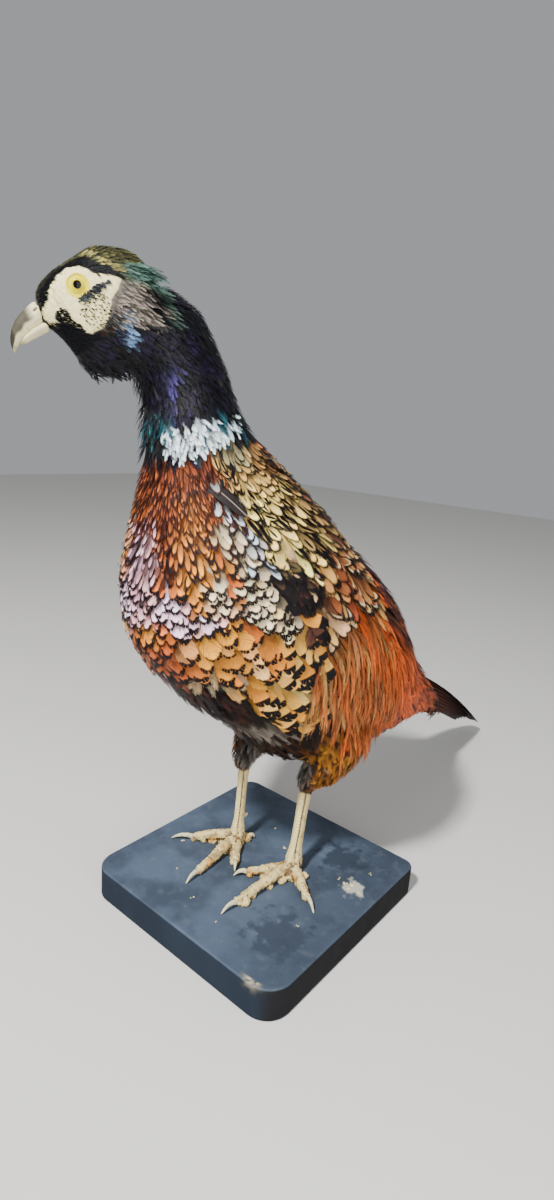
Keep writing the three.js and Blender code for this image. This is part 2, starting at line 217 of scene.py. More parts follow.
def face_distance(points):
    """Distance outside the edge of the bare face, negative on the face."""
    forward, up, left = head_place(points)
    distance = outline_distance(np.stack([forward, up], 1), FACE_OUTLINE) + 0.7 * cloud(points, 3.2, 30)
    return np.where((np.abs(left) < 4) | (forward < -30) | (up < -30), 30.0, distance)


def coat_depth(points):
    """How deep the skin lies under the outline of the plumage."""
    along, _, _ = spine_place(points)
    depth = np.interp(along, [0, 70, 100, 140, 165, 380, 560], [1.1, 1.3, 2.2, 2.6, 4.4, 4.2, 3])
    height = points[:, 2]
    leg = ramp(-height, -125, -100)
    depth = depth * (1 - leg) + 2.2 * leg
    forward, up, _ = head_place(points)
    depth = depth * (1 - 0.9 * ramp(forward, 12, 18) * ramp(up, -16, -12))
    face = 1 - ramp(face_distance(points), -0.6, 1.2)
    return depth * (1 - face) + 0.2 * face


# ---- Sizes and colours that a user may change ----


def tint(name, code, description):
    """A colour setting, given as sRGB hex."""
    return bpy.props.FloatVectorProperty(
        name=name, description=description, subtype="COLOR", size=3, min=0, max=1, default=linear(code))


def length_mm(name, millimetres, description):
    """A length setting, given in millimetres."""
    return bpy.props.FloatProperty(
        name=name, description=description, subtype="DISTANCE", unit="LENGTH", min=0, default=millimetres * MM)


class PheasantColours(bpy.types.PropertyGroup):
    """Colours of the plumage, skin, horn and board."""
    neck_black: tint("Neck black", "#07080C", "Ground of the neck feathers")
    neck_teal: tint("Neck teal", "#2A707C", "Green-blue gloss of the neck")
    neck_violet: tint("Neck violet", "#4A3F80", "Violet gloss of the neck")
    neck_purple: tint("Neck purple", "#1E1230", "Purple gloss at the foot of the neck")
    collar_white: tint("Collar", "#F2F8FC", "White neck ring")
    crown_olive: tint("Crown", "#6B6A44", "Olive bronze of the crown")
    nape_green: tint("Nape", "#547366", "Green of the nape and ear tufts")
    cheek_taupe: tint("Ear coverts", "#968A7E", "Brown feathers behind the face")
    cheek_blue: tint("Cheek gloss", "#6F90B4", "Pale blue gloss below the ear")
    maroon: tint("Maroon", "#803A22", "Upper breast and wing coverts")
    copper: tint("Copper", "#D06A28", "Breast feathers")
    peach: tint("Peach", "#E8923E", "Brightest breast feathers")
    lilac: tint("Lilac", "#F8D2E8", "Pink gloss low on the breast")
    cream: tint("Cream", "#E4D2B0", "Pale band at the side of the breast")
    slate: tint("Slate sheen", "#C3CDD8", "Blue-grey streaks above the pale band")
    buff: tint("Buff", "#E0B366", "Mantle feathers")
    straw: tint("Straw", "#ECCE78", "Pale yellow of the mantle and flank feathers")
    gold: tint("Gold", "#E2962F", "Flank feathers")
    rump_orange: tint("Rump orange", "#DB5C18", "Loose feathers of the rump")
    rump_dark: tint("Rump dark", "#3A1A1C", "Dark purple-brown on the lower back")
    belly: tint("Belly", "#15100E", "Dark belly feathers")
    smoke: tint("Smoke", "#847A70", "Grey-brown down between the legs")
    thigh: tint("Thigh", "#8F5A30", "Feathers of the upper leg")
    dusk: tint("Edges", "#0D080A", "Blackish-purple marks and edges")
    tail: tint("Tail", "#38241B", "Tail quills")
    face: tint("Face", "#E3D79D", "Dried bare skin of the face")
    leg: tint("Leg", "#DCC98C", "Dried skin of the legs")
    horn: tint("Horn", "#DDD3A8", "Bill and claws")
    culmen: tint("Culmen", "#2F2C25", "Grey-brown ridge of the bill")
    iris: tint("Iris", "#E2D000", "Yellow of the glass eye")
    paint: tint("Paint", "#4A5768", "Slate paint of the board")


class PheasantSizes(bpy.types.PropertyGroup):
    """Sizes that the pieces are made from."""
    skin_voxel: length_mm("Skin grid", 2.0, "Spacing of the skin's mesh")
    leg_voxel: length_mm("Leg grid", 0.7, "Spacing of the leg skin's mesh")
    horn_voxel: length_mm("Horn grid", 0.4, "Spacing of the bill's and claws' mesh")
    feather_scale: bpy.props.FloatProperty(
        name="Feather scale", description="All feather sizes are multiplied by this", default=1, min=0.5, max=2)
    seed: bpy.props.IntProperty(name="Seed", description="Seed for the lie of the feathers", default=11)


class PheasantStage(bpy.types.PropertyGroup):
    """The floor, lights and camera."""
    floor: tint("Floor", "#D9D7D2", "Pale floor")
    key_power: bpy.props.FloatProperty(name="Key light", description="Power", unit="POWER", default=44)
    fill_power: bpy.props.FloatProperty(name="Fill light", description="Power", unit="POWER", default=9)
    lens: bpy.props.FloatProperty(name="Lens", description="Focal length", unit="CAMERA", default=19.654)


def colours():
    """All colour settings by name, as arrays."""
    group = bpy.context.scene.pheasant_colours
    return SimpleNamespace(**{name: np.array(getattr(group, name)) for name in PheasantColours.__annotations__})


def sizes():
    """The size settings."""
    return bpy.context.scene.pheasant_sizes


# ---- Meshes ----


def new_object(name, data):
    """Links a mesh, lamp or camera to the scene as an object at the origin."""
    thing = bpy.data.objects.new(name, data)
    bpy.context.scene.collection.objects.link(thing)
    return thing


def mesh_from(name, points, faces):
    """A mesh from points in millimetres and rows of corner numbers."""
    mesh = bpy.data.meshes.new(name)
    mesh.from_pydata(np.asarray(points) * MM, [], faces)
    mesh.update()
    return mesh


def mesh_of(shape, name):
    """Turns a bmesh into a mesh."""
    mesh = bpy.data.meshes.new(name)
    shape.to_mesh(mesh)
    shape.free()
    return mesh


def read(items, name, width, kind=float):
    """One value of all of a mesh's points, edges or corners, as rows of numbers."""
    values = np.empty(len(items) * width, kind)
    items.foreach_get(name, values)
    return values.reshape(-1, width)


def points_of(mesh):
    """Vertex places in millimetres."""
    return read(mesh.vertices, "co", 3) / MM


def normals_of(mesh):
    """Vertex normals."""
    return read(mesh.vertex_normals, "vector", 3)


def place_points(mesh, points):
    """Moves the vertices to places in millimetres."""
    mesh.vertices.foreach_set("co", (np.asarray(points) * MM).astype(np.float32).ravel())
    mesh.update()


def set_attribute(mesh, name, values, kind="FLOAT_COLOR"):
    """Writes one colour, FLOAT_VECTOR or FLOAT for each vertex."""
    attribute = mesh.attributes.new(name, kind, "POINT")
    key = {"FLOAT": "value", "FLOAT_VECTOR": "vector", "FLOAT_COLOR": "color"}[kind]
    values = np.asarray(values, np.float32)
    if kind == "FLOAT_COLOR":
        values = np.concatenate([values.clip(0, 1), np.ones((len(values), 1), np.float32)], 1)
    attribute.data.foreach_set(key, values.ravel())


def set_uv(mesh, name, places):
    """Writes a UV map from one place for each vertex."""
    layer = mesh.uv_layers.new(name=name)
    corners = read(mesh.loops, "vertex_index", 1, np.int32)[:, 0]
    layer.data.foreach_set("uv", np.asarray(places, np.float32)[corners].ravel())


def merged_nodes(names, grow=0.0):
    """One mesh of several frame nodes, each grown a little so that they run together."""
    shape = bmesh.new()
    for name in names:
        shape.from_mesh(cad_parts[name].data)
    bmesh.ops.remove_doubles(shape, verts=shape.verts, dist=0.02 * MM)
    shape.normal_update()
    for corner in shape.verts:
        corner.co += corner.normal * grow * MM
    return mesh_of(shape, "merged")


def remeshed(mesh, voxel, name):
    """The closed outside of a mesh on an even grid, as a new object."""
    piece = new_object(name, mesh)
    modifier = piece.modifiers.new("grid", "REMESH")
    modifier.mode = "VOXEL"
    modifier.voxel_size = voxel
    return made_plain(piece)


def made_plain(piece):
    """Turns an object's modifiers into plain mesh."""
    graph = bpy.context.evaluated_depsgraph_get()
    piece.data = bpy.data.meshes.new_from_object(piece.evaluated_get(graph))
    piece.modifiers.clear()
    return piece


def edge_pairs(mesh):
    """Vertex numbers of both ends of each edge."""
    return read(mesh.edges, "vertices", 2, np.int32)


def relaxed(points, pairs, rounds, shares=1.0):
    """Moves points halfway to the mean of their neighbours, or by shares of that, as often as rounds says."""
    counts = np.bincount(pairs.ravel(), minlength=len(points))[:, None]
    strength = 0.5 * np.broadcast_to(shares, len(points))[:, None]
    for _ in range(rounds):
        total = np.zeros_like(points)
        for axis in range(3):
            total[:, axis] = np.bincount(pairs[:, 0], points[pairs[:, 1], axis], len(points))
            total[:, axis] += np.bincount(pairs[:, 1], points[pairs[:, 0], axis], len(points))
        points = points + strength * (total / np.maximum(counts, 1) - points)
    return points


def hollows(piece, rounds):
    """How far each point lies below a smoothed copy of its surface, in millimetres."""
    points = points_of(piece.data)
    return dot(relaxed(points, edge_pairs(piece.data), rounds) - points, normals_of(piece.data))[:, 0]


def finish_piece(piece, material, slot, *replaced):
    """Gives a finished piece smooth shading and its material, hangs it under the body's empty and hides the
    frame nodes it replaces.
    """
    piece.data.shade_smooth()
    piece.data.materials.clear()
    piece.data.materials.append(material)
    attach(piece, BODY)
    if replaced:
        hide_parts(*replaced)
    return piece


# ---- Materials ----


# The setting that a second word in a node's kind stands for.
MAIN_SETTINGS = {"Math": "operation", "VectorMath": "operation", "MapRange": "interpolation_type",
                 "Mix": "data_type", "Attribute": "attribute_name", "UVMap": "uv_map"}


def fill(node, *values, **named):
    """Gives a node's open inputs a value or a link, in their order or by name."""
    inputs = [socket for socket in node.inputs if socket.enabled]
    pairs = [*zip(inputs, values), *((node.inputs[name.replace("_", " ")], named[name]) for name in named)]
    for socket, value in pairs:
        if isinstance(value, bpy.types.NodeSocket):
            node.id_data.links.new(value, socket)
        else:
            socket.default_value = (*value, 1) if socket.type == "RGBA" else value


def put(tree, kind, *values, out=None, **named):
    """Adds a node and gives back its first open output, or the one that is asked for.

    A second word in kind is its main setting, and a kind in capitals is a Math node's. Names in
    small letters are settings too. The values in order and the names with a capital are its inputs.
    """
    kind, _, setting = (f"Math {kind}" if kind.isupper() else kind).partition(" ")
    node = tree.nodes.new(kind if "Node" in kind else "ShaderNode" + kind)
    settings = {name: value for name, value in named.items() if name.islower()}
    if setting:
        setattr(node, MAIN_SETTINGS[kind], setting)
    for name, value in settings.items():
        setattr(node, name, value)
    fill(node, *values, **{name: value for name, value in named.items() if name not in settings})
    return node.outputs[out] if out else next((socket for socket in node.outputs if socket.enabled), None)


def start_material(name, **values):
    """A new material, what adds nodes to it, and its shader with constant values on its own sockets."""
    material = bpy.data.materials.new(name)
    material.use_nodes = True
    tree = material.node_tree
    shader = tree.nodes["Principled BSDF"]
    fill(shader, **values)
    return material, partial(put, tree), shader


def shaded(add, colour, shade):
    """A colour made lighter or darker by a factor."""
    return add("Mix RGBA", 1.0, colour, add("CombineColor", shade, shade, shade), blend_type="MULTIPLY")


def vane_material(name, barb_shade=0.22, bump_mm=0.12, **values):
    """Feather vane: parallel keratin barbs, which give fine slanting lines and a soft satin gleam.

    Ground, mark and accent colours come with each feather. Marks follow the rim, the
    middle and the tip of the vane, and painted shade darkens the vane towards its root.
    """
    material, add, shader = start_material(name, **values)
    across, along, _ = add("SeparateXYZ", add("UVMap Vane")).node.outputs
    aslant = add("MULTIPLY_ADD", across, 2.0, -1.0)
    off_shaft = add("ABSOLUTE", aslant)
    (edge, spot, chevron), (mark_start, chance, _) = (
        add("SeparateXYZ", add(f"Attribute {layer}", out="Vector")).node.outputs
        for layer in ("pattern", "pattern_more"))
    # Barbs, finer than a millimetre on the real bird, are drawn as coarse as they need to show.
    barb = add("MULTIPLY_ADD", off_shaft, -0.45, along)
    spread = (add("MULTIPLY", value, scale) for value, scale in ((barb, 46.0), (chance, 90.0), (across, 3.0)))
    barbs = add("TexNoise", add("CombineXYZ", *spread), 1.0, 1.0)
    fray = add("MULTIPLY_ADD", mark_start, -0.5, 0.5)
    frayed = add("MULTIPLY", add("SUBTRACT", barbs, 0.5), fray)
    # The dark rim.
    lean = add("MULTIPLY", aslant, add("SINE", add("MULTIPLY", chance, 60.0)))
    edge = add("MULTIPLY", edge, add("MULTIPLY_ADD", lean, 0.45, 1.0))
    rim = add("ADD", add("Attribute rim", out="Fac"), frayed)
    rim_start = add("SUBTRACT", 1.0, add("MULTIPLY", edge, add("MULTIPLY_ADD", chance, 0.8, 0.6)))
    rim_mark = add("MapRange SMOOTHSTEP", add("SUBTRACT", rim, rim_start), -0.06, 0.06)
    low_end = add("MapRange SMOOTHSTEP", add("SUBTRACT", along, mark_start), 0.0, 0.05)
    rim_mark = add("MULTIPLY", rim_mark, low_end)
    # The pale line inside the rim.
    accent_start = add("SUBTRACT", rim_start, chevron)
    accent_mark = add("MapRange SMOOTHSTEP", add("SUBTRACT", rim, accent_start), -0.05, 0.05)
    accent_mark = add("MULTIPLY", accent_mark, add("MapRange SMOOTHSTEP", chevron, 0.02, 0.05))
    accent_mark = add("MULTIPLY", accent_mark, add("MapRange SMOOTHSTEP", along, 0.5, 0.68))
    # The dark spot in the middle.
    spot_place = add("MULTIPLY_ADD", chance, 0.2, 0.5)
    from_spot = add("MULTIPLY", add("SUBTRACT", along, spot_place), 1.7)
    aside = add("MULTIPLY", add("ADD", off_shaft, add("MULTIPLY", frayed, 0.5)), 1.9)
    squares = add("ADD", add("POWER", aside, 2.0), add("POWER", from_spot, 2.0))
    spot_distance = add("SQRT", squares)
    spot_size = add("MULTIPLY", spot, add("MULTIPLY_ADD", chance, 1.5, -0.15))
    spot_mark = add("MapRange SMOOTHSTEP", add("SUBTRACT", spot_size, spot_distance), -0.07, 0.07)
    mark = add("MAXIMUM", rim_mark, spot_mark)
    ground, accent = (add(f"Attribute {layer}") for layer in ("ground", "accent"))
    colour = add("Mix RGBA", accent_mark, ground, accent)
    colour = add("Mix RGBA", mark, colour, add("Attribute mark"))
    shade = add("MULTIPLY_ADD", barbs, 2 * barb_shade, 1 - barb_shade)
    # Painted shade: each vane darker towards its root, where the feathers over it shade it, and lighter at its
    # tip.
    root_shade = add("MULTIPLY_ADD", add("MapRange SMOOTHSTEP", along, 0.25, 0.92), 0.8, 0.4)
    shade = add("MULTIPLY", shade, root_shade)
    uneven = add("MULTIPLY_ADD", add("TexNoise", add("TexCoord", out="Object"), 170.0), 0.7, 0.65)
    shade = add("MULTIPLY", shade, uneven)
    fill(shader, Base_Color=shaded(add, colour, shade),
         Normal=add("Bump", Height=barbs, Strength=0.5, Distance=bump_mm * MM))
    return material


def ground_material(name, patch_mm, bump_mm, finer=2.5, strength=0.6, **values):
    """A surface with the colours of its own points, in light and dark patches, and a relief some times finer."""
    material, add, shader = start_material(name, **values)
    place = add("TexCoord", out="Object")
    shade = add("MULTIPLY_ADD", add("TexNoise", place, 1 / (patch_mm * MM)), 0.5, 0.75)
    relief = add("TexNoise", place, finer / (patch_mm * MM))
    fill(shader, Base_Color=shaded(add, add("Attribute ground"), shade),
         Normal=add("Bump", Height=relief, Strength=strength, Distance=bump_mm * MM))
    return material


# ---- The skin ----


class SkinForm:
    """The finished skin, ready to be asked for the nearest place, its normal and its unwrap."""

    def __init__(self, piece):
        mesh = piece.data
        mesh.calc_loop_triangles()
        self.points = points_of(mesh)
        self.normals = normals_of(mesh)
        self.triangles = read(mesh.loop_triangles, "vertices", 3, np.int32)
        loops = read(mesh.loop_triangles, "loops", 3, np.int32)
        self.uv = read(mesh.uv_layers["OFBake"].data, "uv", 2)[loops].mean(1)
        corners = self.points[self.triangles]
        self.areas = np.linalg.norm(
            np.cross(corners[:, 1] - corners[:, 0], corners[:, 2] - corners[:, 0]), axis=1) / 2
        self.smooth = unit(self.normals[self.triangles].sum(1))
        self.tree = BVHTree.FromPolygons(self.points.tolist(), self.triangles.tolist())

    def nearest(self, points):
        """The nearest place on the skin to each point, its normal and its triangle."""
        found = [self.tree.find_nearest(point) for point in points.tolist()]
        places = np.array([hit[0] for hit in found])
        triangles = np.array([hit[2] for hit in found])
        return places, self.smooth[triangles], triangles


FORM = {}


def dent_for_eyes(points):
    """Opens the skin over each eye and raises a thin lid round the opening."""
    for side in SIDES:
        centre = EYE_CENTRES[side]
        look = eye_look(side)
        out = points - centre
        distance = np.linalg.norm(out, axis=1)
        depth = out @ look
        beside = np.sqrt(np.maximum(distance ** 2 - depth ** 2, 0))
        near = (depth > 0) & (beside < EYE_RADIUS + 3)
        opening = 4.7
        lid = EYE_RADIUS + 0.35 + 0.45 * np.exp(-((beside - opening - 0.7) / 0.6) ** 2)
        raised = near & (beside >= opening) & (distance < lid + 0.2)
        points[raised] = centre + out[raised] / distance[raised, None] * lid[raised, None]
        sunk = near & (beside < opening)
        points[sunk] = centre + out[sunk] / distance[sunk, None] * (EYE_RADIUS - 1.2)
    return points


def face_relief(points, normals):
    """Wrinkles in front of the eye and rows of small warts on the cheek."""
    forward, up, _ = head_place(points)
    inside = 1 - ramp(face_distance(points), -1.2, 0.2)
    folds = np.sin((forward - 0.25 * up) * 2.6 + 0.8 * np.sin(up * 0.7)) * np.exp(-((forward - 10.5) / 4) ** 2)
    warts = np.sin(forward * 3.6 + up * 1.3) * np.sin(up * 3.9 - forward * 0.9) * ramp(-forward, -7, -3)
    fine = cloud(points, 1.3, 4)
    return points + normals * (inside * (0.22 * folds + 0.2 * warts + 0.16 * fine))[:, None]


def face_colour(points):
    """Dried bare skin: cream and flushed before the eye, with painted shade along a crease there, and yellow
    rims to the lids.
    """
    forward, up, _ = head_place(points)
    colour = colours().face * (1 + 0.14 * cloud(points, 2.2, 6))[:, None]
    before_eye = np.exp(-((forward - 9.5) / 4) ** 2) * ramp(-up, -3, 3)
    colour = blend(colour, (0.5, 0.36, 0.28), 0.35 * before_eye * (0.6 + cloud(points, 1.6, 7)))
    # Painted shade: a dark line along the crease in front of the eye.
    crease_shade = ramp(-line_distance(np.stack([forward, up], 1), [(10.6, -1), (11.4, -5), (10.4, -8)]), -0.7, -0.1)
    colour = blend(colour, (0.12, 0.09, 0.06), 0.4 * crease_shade)
    from_eye = np.min([np.linalg.norm(points - EYE_CENTRES[side] - EYE_RADIUS * eye_look(side), axis=1)
                       for side in SIDES], axis=0)
    lid = ramp(-from_eye, -6.0, -5.6)
    return blend(colour, colours().iris * 0.9, lid)


def refine_face(mesh):
    """Splits the skin's faces over the bare face, so that it can hold folds and lids."""
    shape = bmesh.new()
    shape.from_mesh(mesh)
    for _ in range(2):
        shape.verts.ensure_lookup_table()
        places = np.array([corner.co for corner in shape.verts]) / MM
        chosen = face_distance(places) < 2.0
        edges = [e for e in shape.edges if chosen[e.verts[0].index] and chosen[e.verts[1].index]]
        bmesh.ops.subdivide_edges(shape, edges=edges, cuts=1, use_grid_fill=True)
    bmesh.ops.triangulate(shape, faces=[f for f in shape.faces if len(f.verts) > 4])
    shape.to_mesh(mesh)
    shape.free()
    mesh.update()


def build_skin():
    """Makes the skin from the frame's flesh, inside it by the depth of the coat."""
    grow = 0.7
    flesh = merged_nodes([*FLESH_NODES, "eye_left", "eye_right"], grow)
    skin = remeshed(flesh, sizes().skin_voxel, "skin")
    points = relaxed(points_of(skin.data), edge_pairs(skin.data), 8)
    place_points(skin.data, points)
    normals = normals_of(skin.data)
    points = points - normals * (coat_depth(points) + grow * 0.6)[:, None]
    points = relaxed(points, edge_pairs(skin.data), 2)
    place_points(skin.data, points)
    refine_face(skin.data)
    points = points_of(skin.data)
    face = 1 - ramp(face_distance(points), 1.0, 3.0)
    points = relaxed(points, edge_pairs(skin.data), 4, shares=face)
    place_points(skin.data, points)
    points = face_relief(points, normals_of(skin.data))
    points = dent_for_eyes(points)
    place_points(skin.data, points)
    unwrap(skin)
    return skin


def unwrap(piece):
    """Unwraps a piece by its own shape into a map named OFBake."""
    bpy.ops.object.select_all(action="DESELECT")
    piece.select_set(True)
    bpy.context.view_layer.objects.active = piece
    piece.data.uv_layers.new(name="OFBake")
    bpy.ops.object.mode_set(mode="EDIT")
    bpy.ops.mesh.select_all(action="SELECT")
    bpy.ops.uv.smart_project(angle_limit=math.radians(66), island_margin=0.002)
    bpy.ops.object.mode_set(mode="OBJECT")


# ---- Feather vanes ----


Template = namedtuple("Template", "along across rim lift faces")


def vane_template(rng, barbs=6, sweep=0.24, ragged=0.1, gap=0.12, point=0.55, root=0.3):
    """One vane laid flat, in tufts of barbs on both sides of a shaft of length 1 and half-width 1.

    sweep is how far the barbs slant forward, ragged how uneven their ends are, gap the share
    left open between two tufts, point how narrow the tip is and root how high up the shaft
    the outline starts.
    """
    along, across, lift, faces = [], [], [], []

    def outline(share):
        turn = share * math.pi / 2
        start = root + sweep
        return start + (1 - start) * math.sin(turn) ** 1.1, math.cos(turn) ** point

    for side in (-1, 1):
        for number in range(barbs):
            first, last = number / barbs, (number + 1) / barbs
            opening = gap * rng.uniform(0.3, 1.0) / barbs
            reach = 1 - ragged * rng.uniform(0, 1)
            raised = rng.uniform(-1, 1)
            begin = len(along)
            for share, inset in ((first, opening), (last, -opening)):
                shaft = 0.02 + 0.86 * share
                tip_along, tip_across = outline(min(max(share + inset, 0), 1))
                tip_along = shaft + (tip_along - shaft) * reach
                middle_along = shaft + (tip_along - shaft) * 0.38
                width = tip_across * reach
                for at, out in ((shaft, 0.0), (middle_along, width * 0.55), (tip_along, width)):
                    along.append(at)
                    across.append(side * out)
                    lift.append(raised * abs(out))
            corners = [(begin, begin + 1, begin + 4, begin + 3), (begin + 1, begin + 2, begin + 5, begin + 4)]
            faces += [c if side > 0 else c[::-1] for c in corners]
    along, across = np.array(along), np.array(across)
    start = root + sweep * 0.5
    rim = np.sqrt(across ** 2 + (np.clip(along - start, 0, 1) / (1 - start)) ** 2)
    return Template(along, across, np.minimum(rim, 1.0), np.array(lift), np.array(faces))


def templates(seed, count, **shape):
    """A few vanes of the same make, each a little different."""
    rng = np.random.default_rng(seed)
    return [vane_template(rng, **shape) for _ in range(count)]


VANES = {
    "scale": templates(1, 8, barbs=6, sweep=0.2, ragged=0.14, gap=0.14, point=0.5),
    "leaf": templates(8, 8, barbs=7, sweep=0.26, ragged=0.18, gap=0.2, point=0.72),
    "narrow": templates(2, 6, barbs=5, sweep=0.26, ragged=0.2, gap=0.3, point=0.8),
    "wisp": templates(9, 6, barbs=4, sweep=0.4, ragged=0.35, gap=0.5, point=0.85, root=0.15),
    "smooth": templates(3, 6, barbs=7, sweep=0.2, ragged=0.04, gap=0.04, point=0.45),
    "loose": templates(4, 6, barbs=8, sweep=0.42, ragged=0.4, gap=0.55, point=0.75, root=0.12),
    "hair": templates(5, 6, barbs=9, sweep=0.5, ragged=0.5, gap=0.7, point=0.9, root=0.06),
    "tiny": templates(6, 5, barbs=3, sweep=0.3, ragged=0.2, gap=0.25, point=0.7),
}

Kind = namedtuple("Kind", "spacing length half_width rise vane yaw arch droop edge spot chevron start",
                  defaults=(0, -0.3, -1, 0, 0.4))
# Sizes in millimetres. rise is how far the tip stands off the skin, yaw how unevenly the feathers
# point, arch how domed a vane is and droop how much it hangs straight down. edge, spot and chevron
# are the sizes of the dark rim, the dark spot and the pale line. Less than 0 means none, as does
# 0 for the line. start is how far along the vane the rim begins.
KINDS = {
    "neck": Kind(2.4, 9, 1.6, 2.4, "wisp", 10, 0.5),
    "ruffle": Kind(2.8, 9.5, 1.5, 5.0, "loose", 24, 0.4, 0.2),
    "collar": Kind(1.7, 6.5, 1.3, 2.8, "wisp", 18, 0.4),
    "hackle": Kind(2.2, 12, 1.2, 3.4, "narrow", 8, 0.6, edge=0.43, start=0.25),
    "breast": Kind(4.3, 15, 2.5, 4.4, "leaf", 10, 1.0, edge=0.36, start=0.38),
    "scallop": Kind(4.3, 13, 3.8, 4.2, "scale", 9, 1.1, edge=0.3, start=0.66),
    "breast_low": Kind(6.6, 21, 6.0, 4.8, "scale", 9, 1.3, edge=0.22, start=0.74),
    "pale": Kind(4.5, 15, 3.4, 4.4, "leaf", 13, 1.0, edge=0.34),
    "mantle": Kind(5.0, 20, 3.6, 4.6, "leaf", 12, 0.9, edge=0.24, spot=0.68, start=0.45),
    "scapular": Kind(6.0, 25, 4.2, 5.0, "leaf", 13, 1.1, edge=0.26, chevron=0.12),
    "flank": Kind(7.4, 30, 5.9, 5.2, "smooth", 9, 1.4, -0.12, edge=1.0, start=0.775),
    "belly": Kind(5.0, 24, 3.8, 4.5, "loose", 18, 0.8, 0.1),
    "rump": Kind(4.4, 28, 3.0, 5.0, "loose", 12, 0.6, 0.15, edge=0.1),
    "covert": Kind(3.6, 42, 2.1, 6.0, "hair", 9, 0.5, 0.1),
    "strand": Kind(3.4, 50, 1.9, 7.5, "hair", 11, 0.5, 0.5),
    "thigh": Kind(3.6, 18, 2.6, 4.6, "loose", 19, 0.6, 0.1),
    "tiny": Kind(1.5, 5.4, 0.95, 1.0, "tiny", 10, 0.25),
    "wisp": Kind(1.45, 6, 0.75, 1.6, "wisp", 8, 0.3),
}
KIND_NAMES = list(KINDS)


class Coat:
    """Gathers vanes and turns them into one piece."""

    def __init__(self):
        self.parts = defaultdict(list)
        self.count = 0

    def add(self, paths, template, rows, look, roots_uv):
        """Adds the feathers numbered in rows, all of one template, along their paths."""
        *lines, fall, half_width, arch = paths
        steps = lines[0].shape[1] - 1
        place = np.clip(template.along * steps, 0, steps - 1e-6)
        low = place.astype(int)
        share = (place - low)[None, :, None]
        centre, out, beside = (
            line[rows][:, low] * (1 - share) + line[rows][:, low + 1] * share for line in lines)
        across = template.across[None, :, None]
        width = half_width[rows][:, None, None]
        bend = np.where(across > 0, fall[rows, 1][:, None, None], fall[rows, 0][:, None, None])
        rough = 0.05 * width * template.lift[None, :, None]
        height = bend * across ** 2 - arch * across ** 2 * 0.5 + rough
        points = centre + beside * across * width + out * height
        number = len(rows)
        size = len(template.along)
        faces = template.faces[None] + (np.arange(number) * size)[:, None, None] + self.count
        self.count += number * size
        spread = np.stack([template.across * 0.5, template.along - 0.5], 1) * 0.003
        flat = np.stack([template.across * 0.5 + 0.5, template.along], 1)
        added = {
            "points": points.reshape(-1, 3), "faces": faces.reshape(-1, 4), "rim": np.tile(template.rim, number),
            "vane": np.tile(flat, (number, 1)), "bake": (roots_uv[rows][:, None] + spread[None]).reshape(-1, 2),
            **{key: np.repeat(values[rows], size, axis=0) for key, values in look.items()}}
        for key, values in added.items():
            self.parts[key].append(values)

    def add_in_turn(self, paths, shapes, look, roots_uv):
        """Adds feathers that take the templates in turn."""
        turns = np.arange(len(roots_uv)) % len(shapes)
        for turn in np.unique(turns):
            self.add(paths, shapes[turn], np.flatnonzero(turns == turn), look, roots_uv)

    def piece(self, name):
        """The gathered vanes as one object."""
        whole = {key: np.concatenate(rows) for key, rows in self.parts.items()}
        mesh = mesh_from(name, whole["points"], whole["faces"])
        set_attribute(mesh, "rim", whole["rim"], "FLOAT")
        for key in ("ground", "mark", "accent"):
            set_attribute(mesh, key, whole[key])
        for key in ("pattern", "pattern_more"):
            set_attribute(mesh, key, whole[key], "FLOAT_VECTOR")
        set_uv(mesh, "Vane", whole["vane"])
        set_uv(mesh, "OFBake", np.clip(whole["bake"], 0, 1))
        return new_object(name, mesh)


def comb(form, roots, normals, ways, length, half_width, lift, droop, cling, steps):
    """Lays each feather's shaft from its root down the skin.

    Returns places, normals and sideways directions along the shafts, and how far the
    skin falls away under the left and right edge of each vane.
    """
    count = len(roots)
    shaft = np.empty((count, steps + 1, 3))
    normal = np.empty_like(shaft)
    side = np.empty_like(shaft)
    way = unit(ways - normals * dot(ways, normals))
    start = lift * 0.15
    place = roots + normals * start[:, None]
    normal_here = normals
    for step in range(steps + 1):
        shaft[:, step] = place
        normal[:, step] = normal_here
        side[:, step] = unit(np.cross(way, normal_here))
        if step == steps:
            break
        share = (step + 1) / steps
        target = start + (lift - start) * share ** 0.8
        moved = place + way * (length / steps)[:, None]
        near, near_normal, _ = form.nearest(moved)
        height = dot(moved - near, near_normal)[:, 0]
        height = np.maximum(target + (height - target) * (1 - cling[:, 0]), target * 0.6)
        place = near + near_normal * height[:, None]
        normal_here = unit(normal_here * 0.4 + near_normal * 0.6)
        way = way + np.array([0, 0, -1.0]) * droop * share
        way = unit(way - normal_here * dot(way, normal_here) * cling)
    middle = steps // 2 + 1
    centre, out = shaft[:, middle], normal[:, middle]
    fall = np.empty((count, 2))
    for column, sign in ((0, -1), (1, 1)):
        edge = centre + sign * side[:, middle] * half_width[:, None]
        near, near_normal, _ = form.nearest(edge)
        wanted = near + near_normal * dot(centre - form.nearest(centre)[0], out)
        fall[:, column] = np.clip(dot(wanted - edge, out)[:, 0], -0.6 * half_width, 0.2 * half_width)
    return shaft, normal, side, fall, half_width


NEIGHBOURS = list(itertools.product((0, -1, 1), repeat=3))


